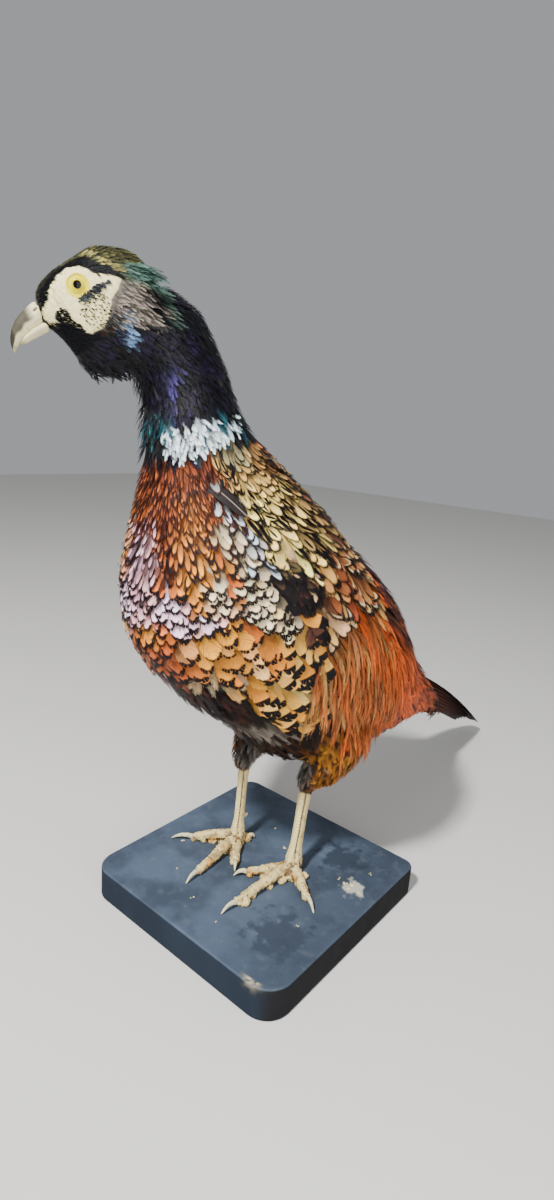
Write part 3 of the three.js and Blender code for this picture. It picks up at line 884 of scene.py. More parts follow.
def scatter(form, triangles, spacing, rng, tries=5):
    """Evenly spread random roots on some of the skin's triangles, as far apart as spacing says."""
    weight = form.areas[triangles] / spacing ** 2
    count = int(weight.sum() * tries)
    chosen = rng.choice(len(triangles), count, p=weight / weight.sum())
    picked = triangles[chosen]
    mix = rng.random((count, 2))
    mix = np.where(mix.sum(1, keepdims=True) > 1, 1 - mix, mix)
    corners = form.points[form.triangles[picked]]
    first, second, third = corners.transpose(1, 0, 2)
    points = first + mix[:, :1] * (second - first) + mix[:, 1:] * (third - first)
    reach = spacing[chosen]
    cell = float(reach.max())
    cells, kept = {}, []
    for number, (point, near) in enumerate(zip(points.tolist(), (reach * 0.82).tolist())):
        x, y, z = (int(value // cell) for value in point)
        around = (cells.get((x + a, y + b, z + c), ()) for a, b, c in NEIGHBOURS)
        if not any(math.dist(point, other) < near for others in around for other in others):
            cells.setdefault((x, y, z), []).append(point)
            kept.append(number)
    return points[kept], picked[kept]


# ---- Plumage: what grows where ----


LEG_LINE = np.array([(40, 36, 165), (40, 31, 136), (35, 26, 115), (26, 17, 88)], float)


def leg_share(points):
    """1 on the feathered legs, 0 on the body."""
    folded = np.stack([np.abs(points[:, 0]), points[:, 1], points[:, 2]], 1)
    return ramp(-line_distance(folded, LEG_LINE), -30, -24) * ramp(-points[:, 2], -156, -142)


# Washes of colour where the tips of the feathers show: place along the bird and angle round it,
# half length and half width of the patch, colour and strength.
WASHES = (
    (183, 150, 24, 13, "peach", 0.8), (192, 147, 13, 9, "gold", 0.5), (188, 177, 24, 4.5, "lilac", 0.55),
    # The narrow rump_dark wash down the breast at 182 along and 167.5 round is painted shade in a furrow where
    # the plumage parts.
    (182, 167.5, 26, 2.6, "rump_dark", 0.85), (152, 128, 9, 6, "rump_dark", 0.5),
    (199, 144, 9, 6, "cream", 0.9), (201, 167, 9, 8, "lilac", 0.95), (209, 154, 6, 8, "lilac", 0.9),
    (212, 130, 6, 7, "cream", 0.95), (220, 148, 9, 12, "gold", 0.9), (226, 143, 6, 6, "gold", 0.7),
    (221, 135, 6, 5.5, "copper", 0.8), (214, 178, 7, 5, "gold", 0.75), (228, 171, 13, 11, "maroon", 0.8),
    (226, 168, 8, 5, "copper", 0.5), (214, 112, 12, 8, "dusk", 0.95), (232, 106, 14, 4, "rump_dark", 0.85),
    (256, 98, 15, 9, "cream", 0.36), (239, 104, 9, 6, "rump_dark", 0.8), (300, 163, 16, 14, "smoke", 0.8),
    (279, 128, 12, 6, "straw", 0.75), (306, 85, 22, 3, "rump_dark", 0.9),
    (350, 82, 60, 10, "rump_orange", 0.85), (320, 62, 36, 12, "rump_dark", 0.95),
    (274, 88, 14, 3, "rump_orange", 0.9), (200, 88, 9, 8, "rump_dark", 0.7),
    (212, 58, 14, 12, "rump_dark", 0.6), (224, 88, 9, 9, "maroon", 0.7), (147, 98, 6, 16, "nape_green", 0.6),
    (168, 104, 10, 7, "straw", 0.8), (184, 101, 9, 6, "straw", 0.8), (345, 143, 12, 14, "gold", 0.3),
)


class Plumage:
    """Kinds, sizes and colours of the feathers at some places."""

    def __init__(self, points):
        c = colours()
        self.points = points
        along, self.angle, self.way = spine_place(points)
        uneven, self.patches, self.speck = (cloud(points, *look) for look in ((13, 1), (5, 2), (2.1, 8)))
        self.along = along + 1.5 * uneven
        self.around = np.abs(self.angle) + 2.5 * cloud(points, 15, 3)
        self.from_head = head_place(points)
        self.bare = face_distance(points)
        self.leg = leg_share(points)
        self.kind = np.full(len(points), -1)
        self.scale = np.ones(len(points))
        self.ground = np.tile(c.belly, (len(points), 1))
        self.mark = np.tile(c.dusk, (len(points), 1))
        self.accent = self.fleck(c.cream * 0.85, c.buff, 0.5, 1)
        self.edge_more = np.zeros(len(points))
        self.band = np.interp(self.along, [165, 173, 190, 205, 215], [133, 130, 128, 124, 120])
        self.belly_from = np.interp(
            self.along, [220, 226, 231, 243, 266, 280, 292, 310], [180, 168, 159, 152, 151, 149, 142, 134])
        self.body = self.along > np.interp(self.around, [0, 60, 100, 130, 180], [150, 141, 136, 137, 137])
        for lay in (self.lay_back, self.lay_rump, self.lay_sides, self.lay_breast, self.lay_band, self.lay_legs,
                    self.wash, self.lay_neck, self.lay_head):
            lay(c)
        self.face = 1 - ramp(self.bare, -0.4, 0.3)
        self.way = unit(blend(self.way, np.array([0, -0.15, -1.0]), self.leg))
        self.cling = 1 - 0.6 * ramp(self.along, 440, 500)[:, None]

    def fleck(self, first, second, base, amount, most=1.0):
        """A colour flecked with a second one, whose share is base, give or take amount, and never over most."""
        return blend(first, second, np.clip(base + amount * self.speck, 0, most))

    def size(self, where, at, steps, sizes):
        """Scales the feathers of some places by how far along something they lie."""
        self.scale = np.where(where, np.interp(at, steps, sizes), self.scale)

    def lay_back(self, c):
        """Back and mantle."""
        along, around, speck = self.along, self.around, self.speck
        back = self.body & (around < self.band - 8)
        warm = blend(c.straw, c.buff, np.clip(0.3 + 0.6 * speck + 0.4 * self.patches, 0, 0.9))
        warm = blend(warm, c.thigh, ramp(-along, -164, -150) * 0.6)
        brown = self.fleck(c.maroon, c.rump_dark, 0.4, 1.2)
        warm = blend(warm, brown, np.clip(ramp(-around, -94, -58) * (0.7 + 1.1 * speck), 0, 0.95))
        warm = blend(warm, brown, np.clip(ramp(along, 186, 225) * (0.6 + 0.8 * speck), 0, 1))
        self.lay(back & (along < 262), "mantle", warm * 1.2)
        self.size(back, along, [140, 190], [0.6, 1])
        scapular = back & (along > 200) & (along < 268) & (around > 52)
        self.lay(scapular, "scapular", self.fleck(c.maroon * 1.5, c.buff * 1.15, 0.35, 0.9, 0.9))

    def lay_rump(self, c):
        """Lower back, rump and tail coverts."""
        along, around, speck, body = self.along, self.around, self.speck, self.body
        vivid = blend(c.rump_orange, c.maroon, np.clip(0.2 + 1.1 * self.patches, 0, 0.8))
        vivid = blend(vivid, c.buff, ramp(speck, 0.1, 0.3) * ramp(-along, -330, -280) * 0.8)
        vivid = blend(vivid, c.rump_dark, ramp(-speck, 0.12, 0.3) * 0.8)
        dark = blend(c.rump_dark, c.rump_orange * 0.8, np.clip(ramp(around, 48, 76) + 0.5 * speck, 0, 1) * 0.6)
        dark = blend(dark, c.maroon, ramp(along, 300, 380) * 0.5)
        tailwards = ramp(along, 440, 530) * 0.9
        dark, vivid = (blend(shade, c.tail * 0.6, tailwards) for shade in (dark, vivid))
        self.lay(body & (along >= 258) & (around < 62), "rump", dark)
        self.lay(body & (along >= 250) & (around >= 50) & (around < 132), "rump", vivid)
        self.lay(body & (along >= 285) & (around < 122), "covert", np.where(around[:, None] < 50, dark, vivid))
        self.size(body & (along > 420), along, [420, 470], [1, 1.4])
        strands = body & (along > 240) & (along < 335) & (around > 80) & (around < 130)
        self.lay(strands, "strand", blend(vivid, c.thigh * 1.15, 0.5))

    def lay_sides(self, c):
        """Barred flanks and the dark belly between them."""
        along, around, body = self.along, self.around, self.body
        lower = np.interp(along, [203, 224, 236, 262], [97, 103, 110, 127])
        gold = self.fleck(c.gold, c.straw, 0.2, 0.8, 0.75) * 0.92
        gold = blend(gold, c.peach, ramp(around, 128, 150) * 0.1)
        flank = body & (along > 203) & (along < 286) & (around >= lower) & (around <= self.belly_from)
        self.lay(flank, "flank", gold)
        self.size(flank, along, [205, 250], [0.65, 1])
        under = body & (along > 214) & (around > self.belly_from) | body & (along > 286) & (around > 128)
        self.lay(under, "belly", self.fleck(c.belly, c.maroon, 0, 0.4))
        self.lay(body & (along > 372) & (around > 104), "belly", blend(c.belly, c.maroon, 0.2))

    def lay_breast(self, c):
        """Breast, from small coppery scales to broad golden feathers, and the hackles above it."""
        along, around, speck, body = self.along, self.around, self.speck, self.body
        breast = body & (around > self.band + 7) & (along < 232) & (around <= self.belly_from)
        copper = blend(c.maroon, c.copper, np.clip(ramp(along, 150, 172) + 0.6 * speck, 0, 1))
        far = (self.angle < 0) * ramp(-around, -178, -171)
        gloss = ramp(along, 152, 166) * ramp(-along, -212, -196) * far * np.clip(0.85 + speck, 0, 1)
        copper = blend(copper, c.lilac, gloss)
        golden = self.fleck(c.gold, c.cream, 0.05, 0.8, 0.5)
        low = ramp(along, 190, 203) * ramp(-around, -170, -160)
        copper = blend(copper, golden, low * np.clip(0.8 + speck, 0, 1))
        self.lay(breast, "breast", copper)
        self.lay(breast & (along > 182 + 12 * self.patches), "scallop", copper)
        self.size(breast, along, [160, 180, 195, 215], [0.75, 0.95, 0.9, 1.15])
        self.lay(breast & (along > 206) & (around < 168), "breast_low", copper)
        self.mark = blend(self.mark, c.maroon, ramp(-along, -185, -150) * (around > 120) * 0.12)
        hackle = body & (along < 160) & (around > 118)
        self.lay(hackle, "hackle", self.fleck(c.maroon * [0.8, 0.9, 1.1], c.copper, 0.34, 0.7, 0.85))

    def lay_band(self, c):
        """The pale band at each side of the breast, with slate streaks above it and grey down below."""
        along, around, body = self.along, self.around, self.body
        half = np.interp(along, [160, 168, 200, 216, 226], [0, 7, 9, 8, 0])
        pale = body & (np.abs(around - self.band) < half)
        self.lay(pale, "pale", self.fleck(c.cream, c.buff, 0.2, 0.9))
        self.kind[pale & (along > 184)] = KIND_NAMES.index("scallop")
        slate = body & (around > self.band - 15) & (around < self.band - 6) & (along > 150) & (along < 206)
        slate &= self.patches > -0.25
        self.lay(slate, "pale", self.fleck(c.slate, c.buff, 0.1, 0.7))
        self.size(pale | slate, along, [150, 185], [0.75, 1])
        knot = body & (along > 194) & (along < 216) & (around > 98) & (around < 116)
        self.lay(knot, "pale", blend(c.cream, c.gold, 0.5 + 0.5 * self.speck))
        self.edge_more = np.where(knot, 0.3, 0)
        down = body & (np.hypot((along - 229) / 7, (around - 157) / 8) < 1)
        self.lay(down, "belly", self.fleck(c.smoke * 0.8, c.buff, 0.4, 0.6, 0.8))

    def lay_legs(self, c):
        """Feathered legs, with grey-brown down on their inner sides."""
        aside, _, height = self.points.T
        shank = self.leg > 0.5
        inner = ramp(np.interp(height, LEG_LINE[::-1, 2], LEG_LINE[::-1, 0]) - np.abs(aside), -3, 3)
        fluff = blend(self.fleck(c.gold, c.copper, 0.5, 1) * 0.42, c.smoke * 0.75, inner)
        self.lay(shank, "thigh", self.fleck(fluff, c.belly, 0.35, 1.1, 0.9))
        self.size(shank, height, [88, 110, 150], [0.35, 0.7, 1.1])

    def wash(self, c):
        """Washes of colour over the body, placed by where the tips of the feathers show."""
        shown = self.along + 0.6 * self.of_kind("length") * self.scale
        for at, turn, length, width, name, strength in WASHES:
            away = np.hypot((shown - at) / length, (self.around - turn) / width) + 0.45 * self.speck
            self.ground = blend(self.ground, getattr(c, name), ramp(-away, -1.2, -0.75) * strength)

    def lay_neck(self, c):
        """Glossy neck, white collar and the ruffled feathers of the throat."""
        along, around, speck, patches = self.along, self.around, self.speck, self.patches
        forward, up, _ = self.from_head
        neck = ~self.body
        streak = ramp(cloud(self.points * [1, 1, 0.4], 7, 5), 0.0, 0.4)
        violet = streak * ramp(-np.abs(around - 122), -36, -10) * ramp(-np.abs(along - 108), -22, -8)
        throat_gloss = (around > 150) * ramp(-np.abs(along - 123), -7, -3) * (0.4 + speck)
        teal = ramp(along, 112, 120) * np.maximum(
            0.5 * streak * ramp(-np.abs(around - 96), -40, -20), throat_gloss)
        gloss = blend(c.neck_black, c.neck_purple, np.clip(0.1 + 0.9 * patches + 0.5 * speck, 0, 1))
        gloss = blend(gloss, c.neck_violet, np.clip(violet, 0, 1) * 0.9)
        gloss = blend(gloss, c.neck_teal, np.clip(teal, 0, 1))
        self.lay(neck, "neck", blend(gloss, c.cheek_blue, self.cheek_gloss() * 0.85))
        middle = np.interp(around, [77, 93, 129, 150, 164], [129, 130, 129.5, 130, 128])
        half = np.interp(around, [66, 80, 95, 130, 152, 164, 168], [0, 2.5, 4.2, 6, 6, 3.5, 0])
        half = np.where(self.angle < 0, np.interp(around, [60, 80, 120, 128], [0, 4, 6, 0]), half)
        collar = (np.abs(along - middle) < half) & (patches > -0.26)
        self.lay(collar, "collar", self.fleck(c.collar_white * [0.88, 0.97, 1], c.slate * 0.4, 0.1, 1.2))
        self.size(neck, along, [70, 100, 125, 143], [0.8, 0.85, 1, 1.15])
        shaggy = (along > 112) & (along < 134) & (around > 166) | (up < -36) & (forward > -14) & (speck > 0)
        self.kind[shaggy & neck & ~collar] = KIND_NAMES.index("ruffle")

    def cheek_gloss(self):
        """Share of the pale blue gloss below the ear."""
        forward, up, left = self.from_head
        away = line_distance(np.stack([forward, up], 1), [(-15.5, -21.5), (-14, -26), (-10, -30)])
        return ramp(-away, -4, -1.5) * (np.abs(left) > 3) * ramp(self.speck, -0.3, 0.1)

    def lay_head(self, c):
        """Short feathers of the crown, nape, ear and chin, round the bare face."""
        speck, bare, blue = self.speck, self.bare, self.cheek_gloss()
        forward, up, _ = self.from_head
        head = ~self.body & (forward > -40) & (up > -24 - 0.25 * np.abs(forward + 10)) & (self.along < 100)
        width = np.interp(forward, [-22, -19, -12, -4, -1, 1, 2.5, 4], [0, 2.4, 4.4, 3.4, 1.8, 2.2, 5, 30])
        stripe = ramp(bare - width, 0, 0.8) * ramp(width - bare, -4.8, -2.0) * ramp(forward, -24, -14)
        olive = self.fleck(c.crown_olive, c.straw * [0.7, 0.78, 0.62], 0.2, 0.8, 0.75)
        cap = blend(c.crown_olive * 0.22, olive, np.clip(0.85 * stripe + 0.25 * speck, 0, 1))
        below = np.interp(forward, [-45, -36, -27, -18], [-12, -5, 0.5, 3]) - up
        green = ramp(-forward, 19, 25) * ramp(below, -1, 2) * ramp(-below, -12, -7)
        cap = blend(cap, self.fleck(c.nape_green, c.neck_black, 0.15, 1, 0.9), green)
        shadowed = 0.16 + 1.2 * speck + ramp(-forward, 24, 33)
        shadowed = shadowed + 0.7 * ramp(-up, 16, 21) * ramp(forward, -20, -10)
        ears = ramp(-up, 5, 8) * ramp(-forward, 1, 4) * (1 - green)
        cap = blend(cap, blend(c.cheek_taupe, c.neck_black, np.clip(shadowed, 0, 1)), ears)
        cap = blend(cap, c.nape_green * 0.6, 0.6 * ramp(-forward, 33, 38) * ramp(-up, 5, 12))
        cap = blend(cap, c.neck_black, ramp(-up, 9, 12) * ramp(forward, -7, -2))
        cap = blend(cap, blend(c.neck_black, c.thigh, 0.5), (np.hypot(forward + 5, up + 26) < 4.5) * 0.12)
        black = ramp(width - bare, -0.5, 0.3) * ((up > -9 - 0.3 * forward) | (forward > 15))
        cap = blend(cap, c.neck_black, black)
        self.lay(head, "tiny", blend(cap, c.cheek_blue, blue * 0.85))
        self.size(head, -forward, [-20, 0, 20, 38], [0.5, 0.6, 0.9, 1.3])
        self.kind[head & ((ears > 0.5) | (green > 0.5) | (blue > 0.3))] = KIND_NAMES.index("wisp")
        self.kind[(bare < 0.25) | ((forward > 19.5) & (up < 1) & (up > -15))] = -1

    def lay(self, where, kind, ground):
        """Puts a kind of feather and its colour over some of the places."""
        self.kind[where] = KIND_NAMES.index(kind)
        self.scale = np.where(where, 1, self.scale)
        self.ground = np.where(where[:, None], ground, self.ground)

    def of_kind(self, name):
        """One of the kinds' numbers for each place."""
        values = np.array([getattr(KINDS[kind], name) for kind in KIND_NAMES] + [0])
        return values[self.kind]


PIECES = {
    "coat_head": (("tiny", "wisp"), "head_plumage"),
    "coat_neck": (("neck", "ruffle", "collar"), "neck_plumage"),
    "coat_breast": (("hackle", "breast", "scallop", "breast_low", "pale"), "breast_plumage"),
    "coat_mantle": (("mantle", "scapular"), "wing_plumage"),
    "coat_flank": (("flank",), "wing_plumage"),
    "coat_belly": (("belly",), "thigh_plumage"),
    "coat_rump": (("rump", "covert"), "rump_plumage"),
    "coat_strands": (("strand",), "rump_plumage"),
    "coat_thighs": (("thigh",), "thigh_plumage"),
}


def grow_feathers(name, roots, triangles, plumage, rng, steps=6):
    """A piece of feathers at some roots on the skin, each of the kind that the plumage gives."""
    form, coat = FORM["skin"], Coat()
    scale = plumage.scale * sizes().feather_scale
    count = len(roots)
    length = plumage.of_kind("length") * scale * rng.normal(1, 0.1, count).clip(0.7, 1.3)
    half_width = plumage.of_kind("half_width") * scale * rng.normal(1, 0.08, count).clip(0.75, 1.25)
    rise_here = plumage.of_kind("rise") * scale ** 0.5 * rng.normal(1, 0.12, count).clip(0.6, 1.4)
    normals = form.smooth[triangles]
    yaw = np.radians(plumage.of_kind("yaw") * rng.standard_t(3, count).clip(-3.5, 3.5))[:, None]
    ways = unit(plumage.way - normals * dot(plumage.way, normals))
    ways = ways * np.cos(yaw) + np.cross(normals, ways) * np.sin(yaw)
    droop = plumage.of_kind("droop")[:, None]
    paths = comb(form, roots, normals, ways, length, half_width, rise_here, droop, plumage.cling, steps)
    uneven = np.where(plumage.of_kind("length") < 8, 0.12, 0.2)[:, None]
    tone = (1 + uneven * rng.normal(0, 1, (count, 1))).clip(0.5, 1.45) * rng.normal(1, 0.035, (count, 3))
    chance = rng.random(count)
    look = {
        "ground": (plumage.ground * tone).clip(0, 1), "mark": plumage.mark, "accent": plumage.accent,
        "pattern": np.stack([
            plumage.of_kind("edge") + plumage.edge_more, plumage.of_kind("spot"),
            plumage.of_kind("chevron") * (chance > 0.5)], 1),
        "pattern_more": np.stack([plumage.of_kind("start"), chance, np.zeros(count)], 1)}
    roots_uv = form.uv[triangles]
    for kind in np.unique(plumage.kind):
        shapes = VANES[KINDS[KIND_NAMES[kind]].vane]
        variant = rng.integers(0, len(shapes), count)
        for number, template in enumerate(shapes):
            rows = np.flatnonzero((plumage.kind == kind) & (variant == number))
            if len(rows):
                height = KINDS[KIND_NAMES[kind]].arch * float(scale[rows].mean())
                coat.add((*paths, height), template, rows, look, roots_uv)
    return coat.piece(name)


# ---- Horn, glass, leg skin and board ----


def eye_look(side):
    """The way an eye looks."""
    return unit(SIDES[side] * HEAD_LEFT + 0.12 * HEAD_FORWARD + 0.05 * HEAD_UP)


def eye_piece(side, material):
    """A glass eye whose pole looks out, and at each point of it the distance from the pole's axis."""
    centre, look = EYE_CENTRES[side], eye_look(side)
    turn = Vector(look).to_track_quat("Z", "Y").to_matrix().to_4x4()
    shape = bmesh.new()
    bmesh.ops.create_uvsphere(shape, u_segments=32, v_segments=24, radius=EYE_RADIUS * MM,
                              matrix=Matrix.Translation(Vector(centre) * MM) @ turn)
    mesh = mesh_of(shape, f"glass_eye_{side}")
    out = points_of(mesh) - centre
    depth = dot(out, look)
    ring = np.linalg.norm(out - depth * look, axis=1)
    set_attribute(mesh, "ring", np.where(depth[:, 0] > 0, ring, EYE_RADIUS), "FLOAT")
    return finish_piece(new_object(f"glass_eye_{side}", mesh), material, "eye_glass", f"eye_{side}")


def eye_material():
    """Glass eye: a smooth gloss over a yellow iris with a darker rim, and a black pupil."""
    material, add, shader = start_material("glass_eye", Roughness=0.05, Specular_IOR_Level=0.18)
    ring = add("Attribute ring", out="Fac")
    iris = colours().iris
    pale = add("Mix RGBA", add("MapRange SMOOTHSTEP", ring, 1.9, 3.4), iris * 0.7, iris)
    pale = add("Mix RGBA", add("MapRange SMOOTHSTEP", ring, 4.0, 4.5), pale, iris * 0.25)
    pupil_edge = add("MapRange SMOOTHSTEP", ring, 1.75, 2.05)
    fill(shader, Base_Color=add("Mix RGBA", pupil_edge, (0.003, 0.002, 0.002), pale))
    return material


def smooth_horn(name, nodes, voxel, rounds, grow=0.0):
    """A horn piece remade from frame nodes on a fine grid, and its points and normals."""
    piece = remeshed(merged_nodes(nodes, grow), voxel, name)
    points = relaxed(points_of(piece.data), edge_pairs(piece.data), rounds)
    place_points(piece.data, points)
    return piece, points, normals_of(piece.data)


def bill_piece(node, material):
    """One half of the bill, with its nostrils, growth lines and colours."""
    c = colours()
    piece, points, normals = smooth_horn(node + "_horn", [node], sizes().horn_voxel, 5)
    forward, up, left = head_place(points)
    if node == "bill_upper":
        slit = np.hypot((forward - 21.6) / 1.5, (up + 6.2 + 0.35 * (forward - 21.6)) / 0.7)
        hollow = (1 - ramp(slit, 0.4, 1.1)) * (np.abs(left) > 1.5)
        cere = 0.35 * (1 - ramp(forward, 22.0, 25.0)) * (1 - hollow)
        points = points + normals * (cere - 0.7 * hollow)[:, None]
    else:
        hollow = np.zeros(len(points))
    growth = 0.02 * np.sin(forward * 2.2) + 0.04 * cloud(points, 3, 8)
    place_points(piece.data, points + normals * growth[:, None])
    bins = np.linspace(forward.min() + 1, forward.max() - 1, 18)
    spans = [up[np.abs(forward - at) < 1.2] for at in bins]
    low, high = (np.polyval(np.polyfit(bins, [pick(s) for s in spans], 3), forward) for pick in (np.min, np.max))
    top = ramp((up - low) / np.maximum(high - low, 0.6) + 0.06 * cloud(points, 3, 9), 0.3, 0.5)
    ridge = top * ramp(forward, 21.5, 27) if node == "bill_upper" else 0.1 * top
    tip = ramp(forward, forward.max() - 4, forward.max() - 0.5)
    ground = blend(c.horn * 1.05, c.culmen, np.clip(ridge * 0.95 + tip * 0.6, 0, 1))
    ground = blend(ground, c.face, (1 - ramp(forward, 21.0, 23.5)) * 0.7)
    # Painted shade: the nostril's hollow darkened nearly to black.
    ground = blend(ground, c.dusk, hollow * 0.8)
    ground = ground * (1 + 0.08 * cloud(points, 1.5, 10))[:, None]
    set_attribute(piece.data, "ground", ground)
    return finish_piece(piece, material, "bill_horn", node)


def foot_middle(side):
    """The place on the board under a tarsus."""
    toes = np.mean([box_middle(f"toe_{toe}_{side}") for toe in ("outer", "inner")], axis=0)
    return np.array([toes[0], box_middle(f"toe_hind_{side}")[1] - 9, box_mm(f"tarsus_{side}")[0][2]])


def add_lump(shape, place, radius, rng):
    """Adds an uneven lump of dried skin or glue to a bmesh."""
    stretch = rng.uniform(0.75, 1.25, 3) * radius * MM
    where = Matrix.Translation(Vector(place) * MM) @ Matrix.Diagonal((*stretch, 1))
    bmesh.ops.create_icosphere(shape, subdivisions=2, radius=1, matrix=where)


def leg_piece(side, material):
    """The dried skin of one shank and foot, shrunk and lumpy, with pads under the toes, painted shade in its
    crevices and groove, and painted shadow with dirt where it meets the board.
    """
    c = colours()
    rng = np.random.default_rng(31 + SIDES[side])
    nodes = [f"tarsus_{side}", *(f"toe_{toe}_{side}" for toe in TOE_NAMES)]
    shape = bmesh.new()
    shape.from_mesh(merged_nodes(nodes, 0.25))
    middle = foot_middle(side)
    floor = box_mm("base")[1][2]
    lumps = []
    for toe in TOE_NAMES:
        tip = box_middle(f"claw_{toe}_{side}")
        for share, radius, aside in ((0.22, 4.2, 1.5), (0.4, 3.4, 1.9), (0.6, 2.6, 1.5), (0.8, 3.3, 1.2)):
            place = middle * (1 - share) + tip * share
            place = place + [rng.normal(0, aside), rng.normal(0, aside), 0]
            place[2] = floor + radius * 0.45
            lumps.append((place, radius))
    for _ in range(24):
        turn, reach = rng.uniform(0, 2 * math.pi), rng.uniform(2, 11)
        place = middle + [math.cos(turn) * reach, math.sin(turn) * reach, 0]
        place[2] = floor + rng.uniform(0.8, 7.5 - 0.4 * reach)
        lumps.append((place, rng.uniform(1.6, 3.6)))
    for place, radius in lumps:
        add_lump(shape, place, radius, rng)
    piece = remeshed(mesh_of(shape, "leg"), sizes().leg_voxel, f"leg_skin_{side}")
    points = relaxed(points_of(piece.data), edge_pairs(piece.data), 3)
    place_points(piece.data, points)
    normals = normals_of(piece.data)
    height = points[:, 2] - floor
    knobbly = cloud(points, 4.5, 12)
    wrinkled = cloud(points * [1, 1, 0.5], 1.3, 13)
    amount = np.interp(height, [0, 12, 22], [1.7, 1.1, 0.16])
    shank = shank_axis(side)
    axis = along_line(points[:, 2], shank[:, 2], shank)
    turn = np.degrees(np.arctan2(points[:, 0] - axis[:, 0], axis[:, 1] - points[:, 1]))
    groove = np.exp(-((turn - 40) / 9) ** 2) * ramp(height, 10, 20)
    points = points + normals * (amount * (0.5 * knobbly + 0.6 * wrinkled) - 0.7 * groove)[:, None]
    points[:, 2] = np.maximum(points[:, 2], floor + 0.05)
    place_points(piece.data, points)
    yellow = ramp(cloud(points, 6, 14), 0.05, 0.4) * ramp(-height, -14, -6)
    grey = ramp(cloud(points, 4, 15), 0.1, 0.5)
    ground = blend(c.leg, c.gold * [0.95, 1, 0.9], yellow * 0.6 + 0.1)
    # Painted shade: crevices between the lumps and low hollows of the foot darkened.
    deep = ramp(hollows(piece, 30), 0.0, 0.17)
    deep = np.maximum(deep, 0.6 * ramp(-knobbly, 0.0, 0.4) * ramp(-height, -15, -9))
    ground = blend(ground, c.thigh * 0.35, deep * 0.9)
    # Patchy grey grime, painted shade in the shank's groove, and darkening where the foot meets the board that
    # is partly dirt and partly painted shadow.
    ground = blend(ground, c.culmen, np.clip(grey * 0.3 + 0.6 * (1 - ramp(height, 0, 2.5)) + 0.8 * groove, 0, 1))
    set_attribute(piece.data, "ground", ground)
    return finish_piece(piece, material, "leg_skin", *nodes)


def shank_axis(side):
    """Places on the middle line of a shank, from bottom to top."""
    ring = points_of(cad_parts[f"tarsus_{side}"].data)
    heights = np.linspace(ring[:, 2].min(), ring[:, 2].max(), 9)
    spans = [ring[np.abs(ring[:, 2] - height) < 9] for height in heights]
    return np.array([[*(span.min(0) + span.max(0))[:2] / 2, height] for span, height in zip(spans, heights)])


def scute_nodes():
    """Geometry Nodes that lay overlapping plates along lines."""
    group = bpy.data.node_groups.new("scutes", "GeometryNodeTree")
    for name, kind in (("Lines", "Geometry"), ("Spacing", "Float"), ("Width", "Float"), ("Length", "Float"),
                       ("Thickness", "Float"), ("Material", "Material")):
        group.interface.new_socket(name, in_out="INPUT", socket_type=f"NodeSocket{kind}")
    group.interface.new_socket("Plates", in_out="OUTPUT", socket_type="NodeSocketGeometry")
    add = partial(put, group)
    given = add("NodeGroupInput").node.outputs
    line = add("GeometryNodeMeshToCurve", given["Lines"])
    line = add("GeometryNodeResampleCurve", line, Length=given["Spacing"], mode="LENGTH")
    size = add("CombineXYZ", given["Width"], given["Length"], given["Thickness"])
    plate = add("GeometryNodeTransform", add("GeometryNodeMeshUVSphere", 14, 8, 1.0), Scale=size)
    outward = add("GeometryNodeInputNamedAttribute", "outward", data_type="FLOAT_VECTOR")
    grown = add("GeometryNodeInputNamedAttribute", "grown", data_type="FLOAT")
    tangent = add("GeometryNodeInputTangent")
    turn = add("FunctionNodeAlignRotationToVector", Vector=outward, axis="Z")
    turn = add("FunctionNodeAlignRotationToVector", turn, Vector=tangent, axis="Y", pivot_axis="Z")
    tipped = (math.radians(-13), 0, 0)
    turn = add("FunctionNodeRotateRotation", turn, tipped, rotation_space="LOCAL")
    plates = add("GeometryNodeInstanceOnPoints", line, Instance=plate, Rotation=turn, Scale=grown)
    plates = add("GeometryNodeRealizeInstances", plates)
    add("NodeGroupOutput", add("GeometryNodeSetMaterial", plates, Material=given["Material"]))
    return group


def scute_lines(side, skin):
    """Lines down the front of a shank and over its toes, with the outward way and size at each point."""
    tree = BVHTree.FromPolygons(points_of(skin.data).tolist(), [tuple(p.vertices) for p in skin.data.polygons])
    low, high = box_mm(f"tarsus_{side}")
    lines = []
    shank = shank_axis(side)
    for turn in (-42, 6):
        way = np.array([math.sin(math.radians(turn)), -math.cos(math.radians(turn)), 0])
        line = []
        for height in np.linspace(low[2] + 13, high[2] - 4, 16):
            axis = along_line(height, shank[:, 2], shank)
            hit = tree.ray_cast(Vector(axis + way * 20), Vector(-way))
            if hit[0] is not None:
                line.append((np.array(hit[0]) - way * 0.12, way, 1.0))
        lines.append(line)
    middle = foot_middle(side)
    for toe in TOE_NAMES[:3]:
        tip = box_middle(f"claw_{toe}_{side}")
        line = []
        for share in np.linspace(0.3, 0.84, 9):
            place = middle * (1 - share) + tip * share
            hit = tree.ray_cast(Vector((place[0], place[1], 70)), Vector((0, 0, -1)))
            if hit[0] is not None and hit[0][2] < low[2] + 16:
                line.append((np.array(hit[0]) - [0, 0, 0.25], np.array(hit[1]), 0.6))
        lines.append(line)
    return [line for line in lines if len(line) > 1]


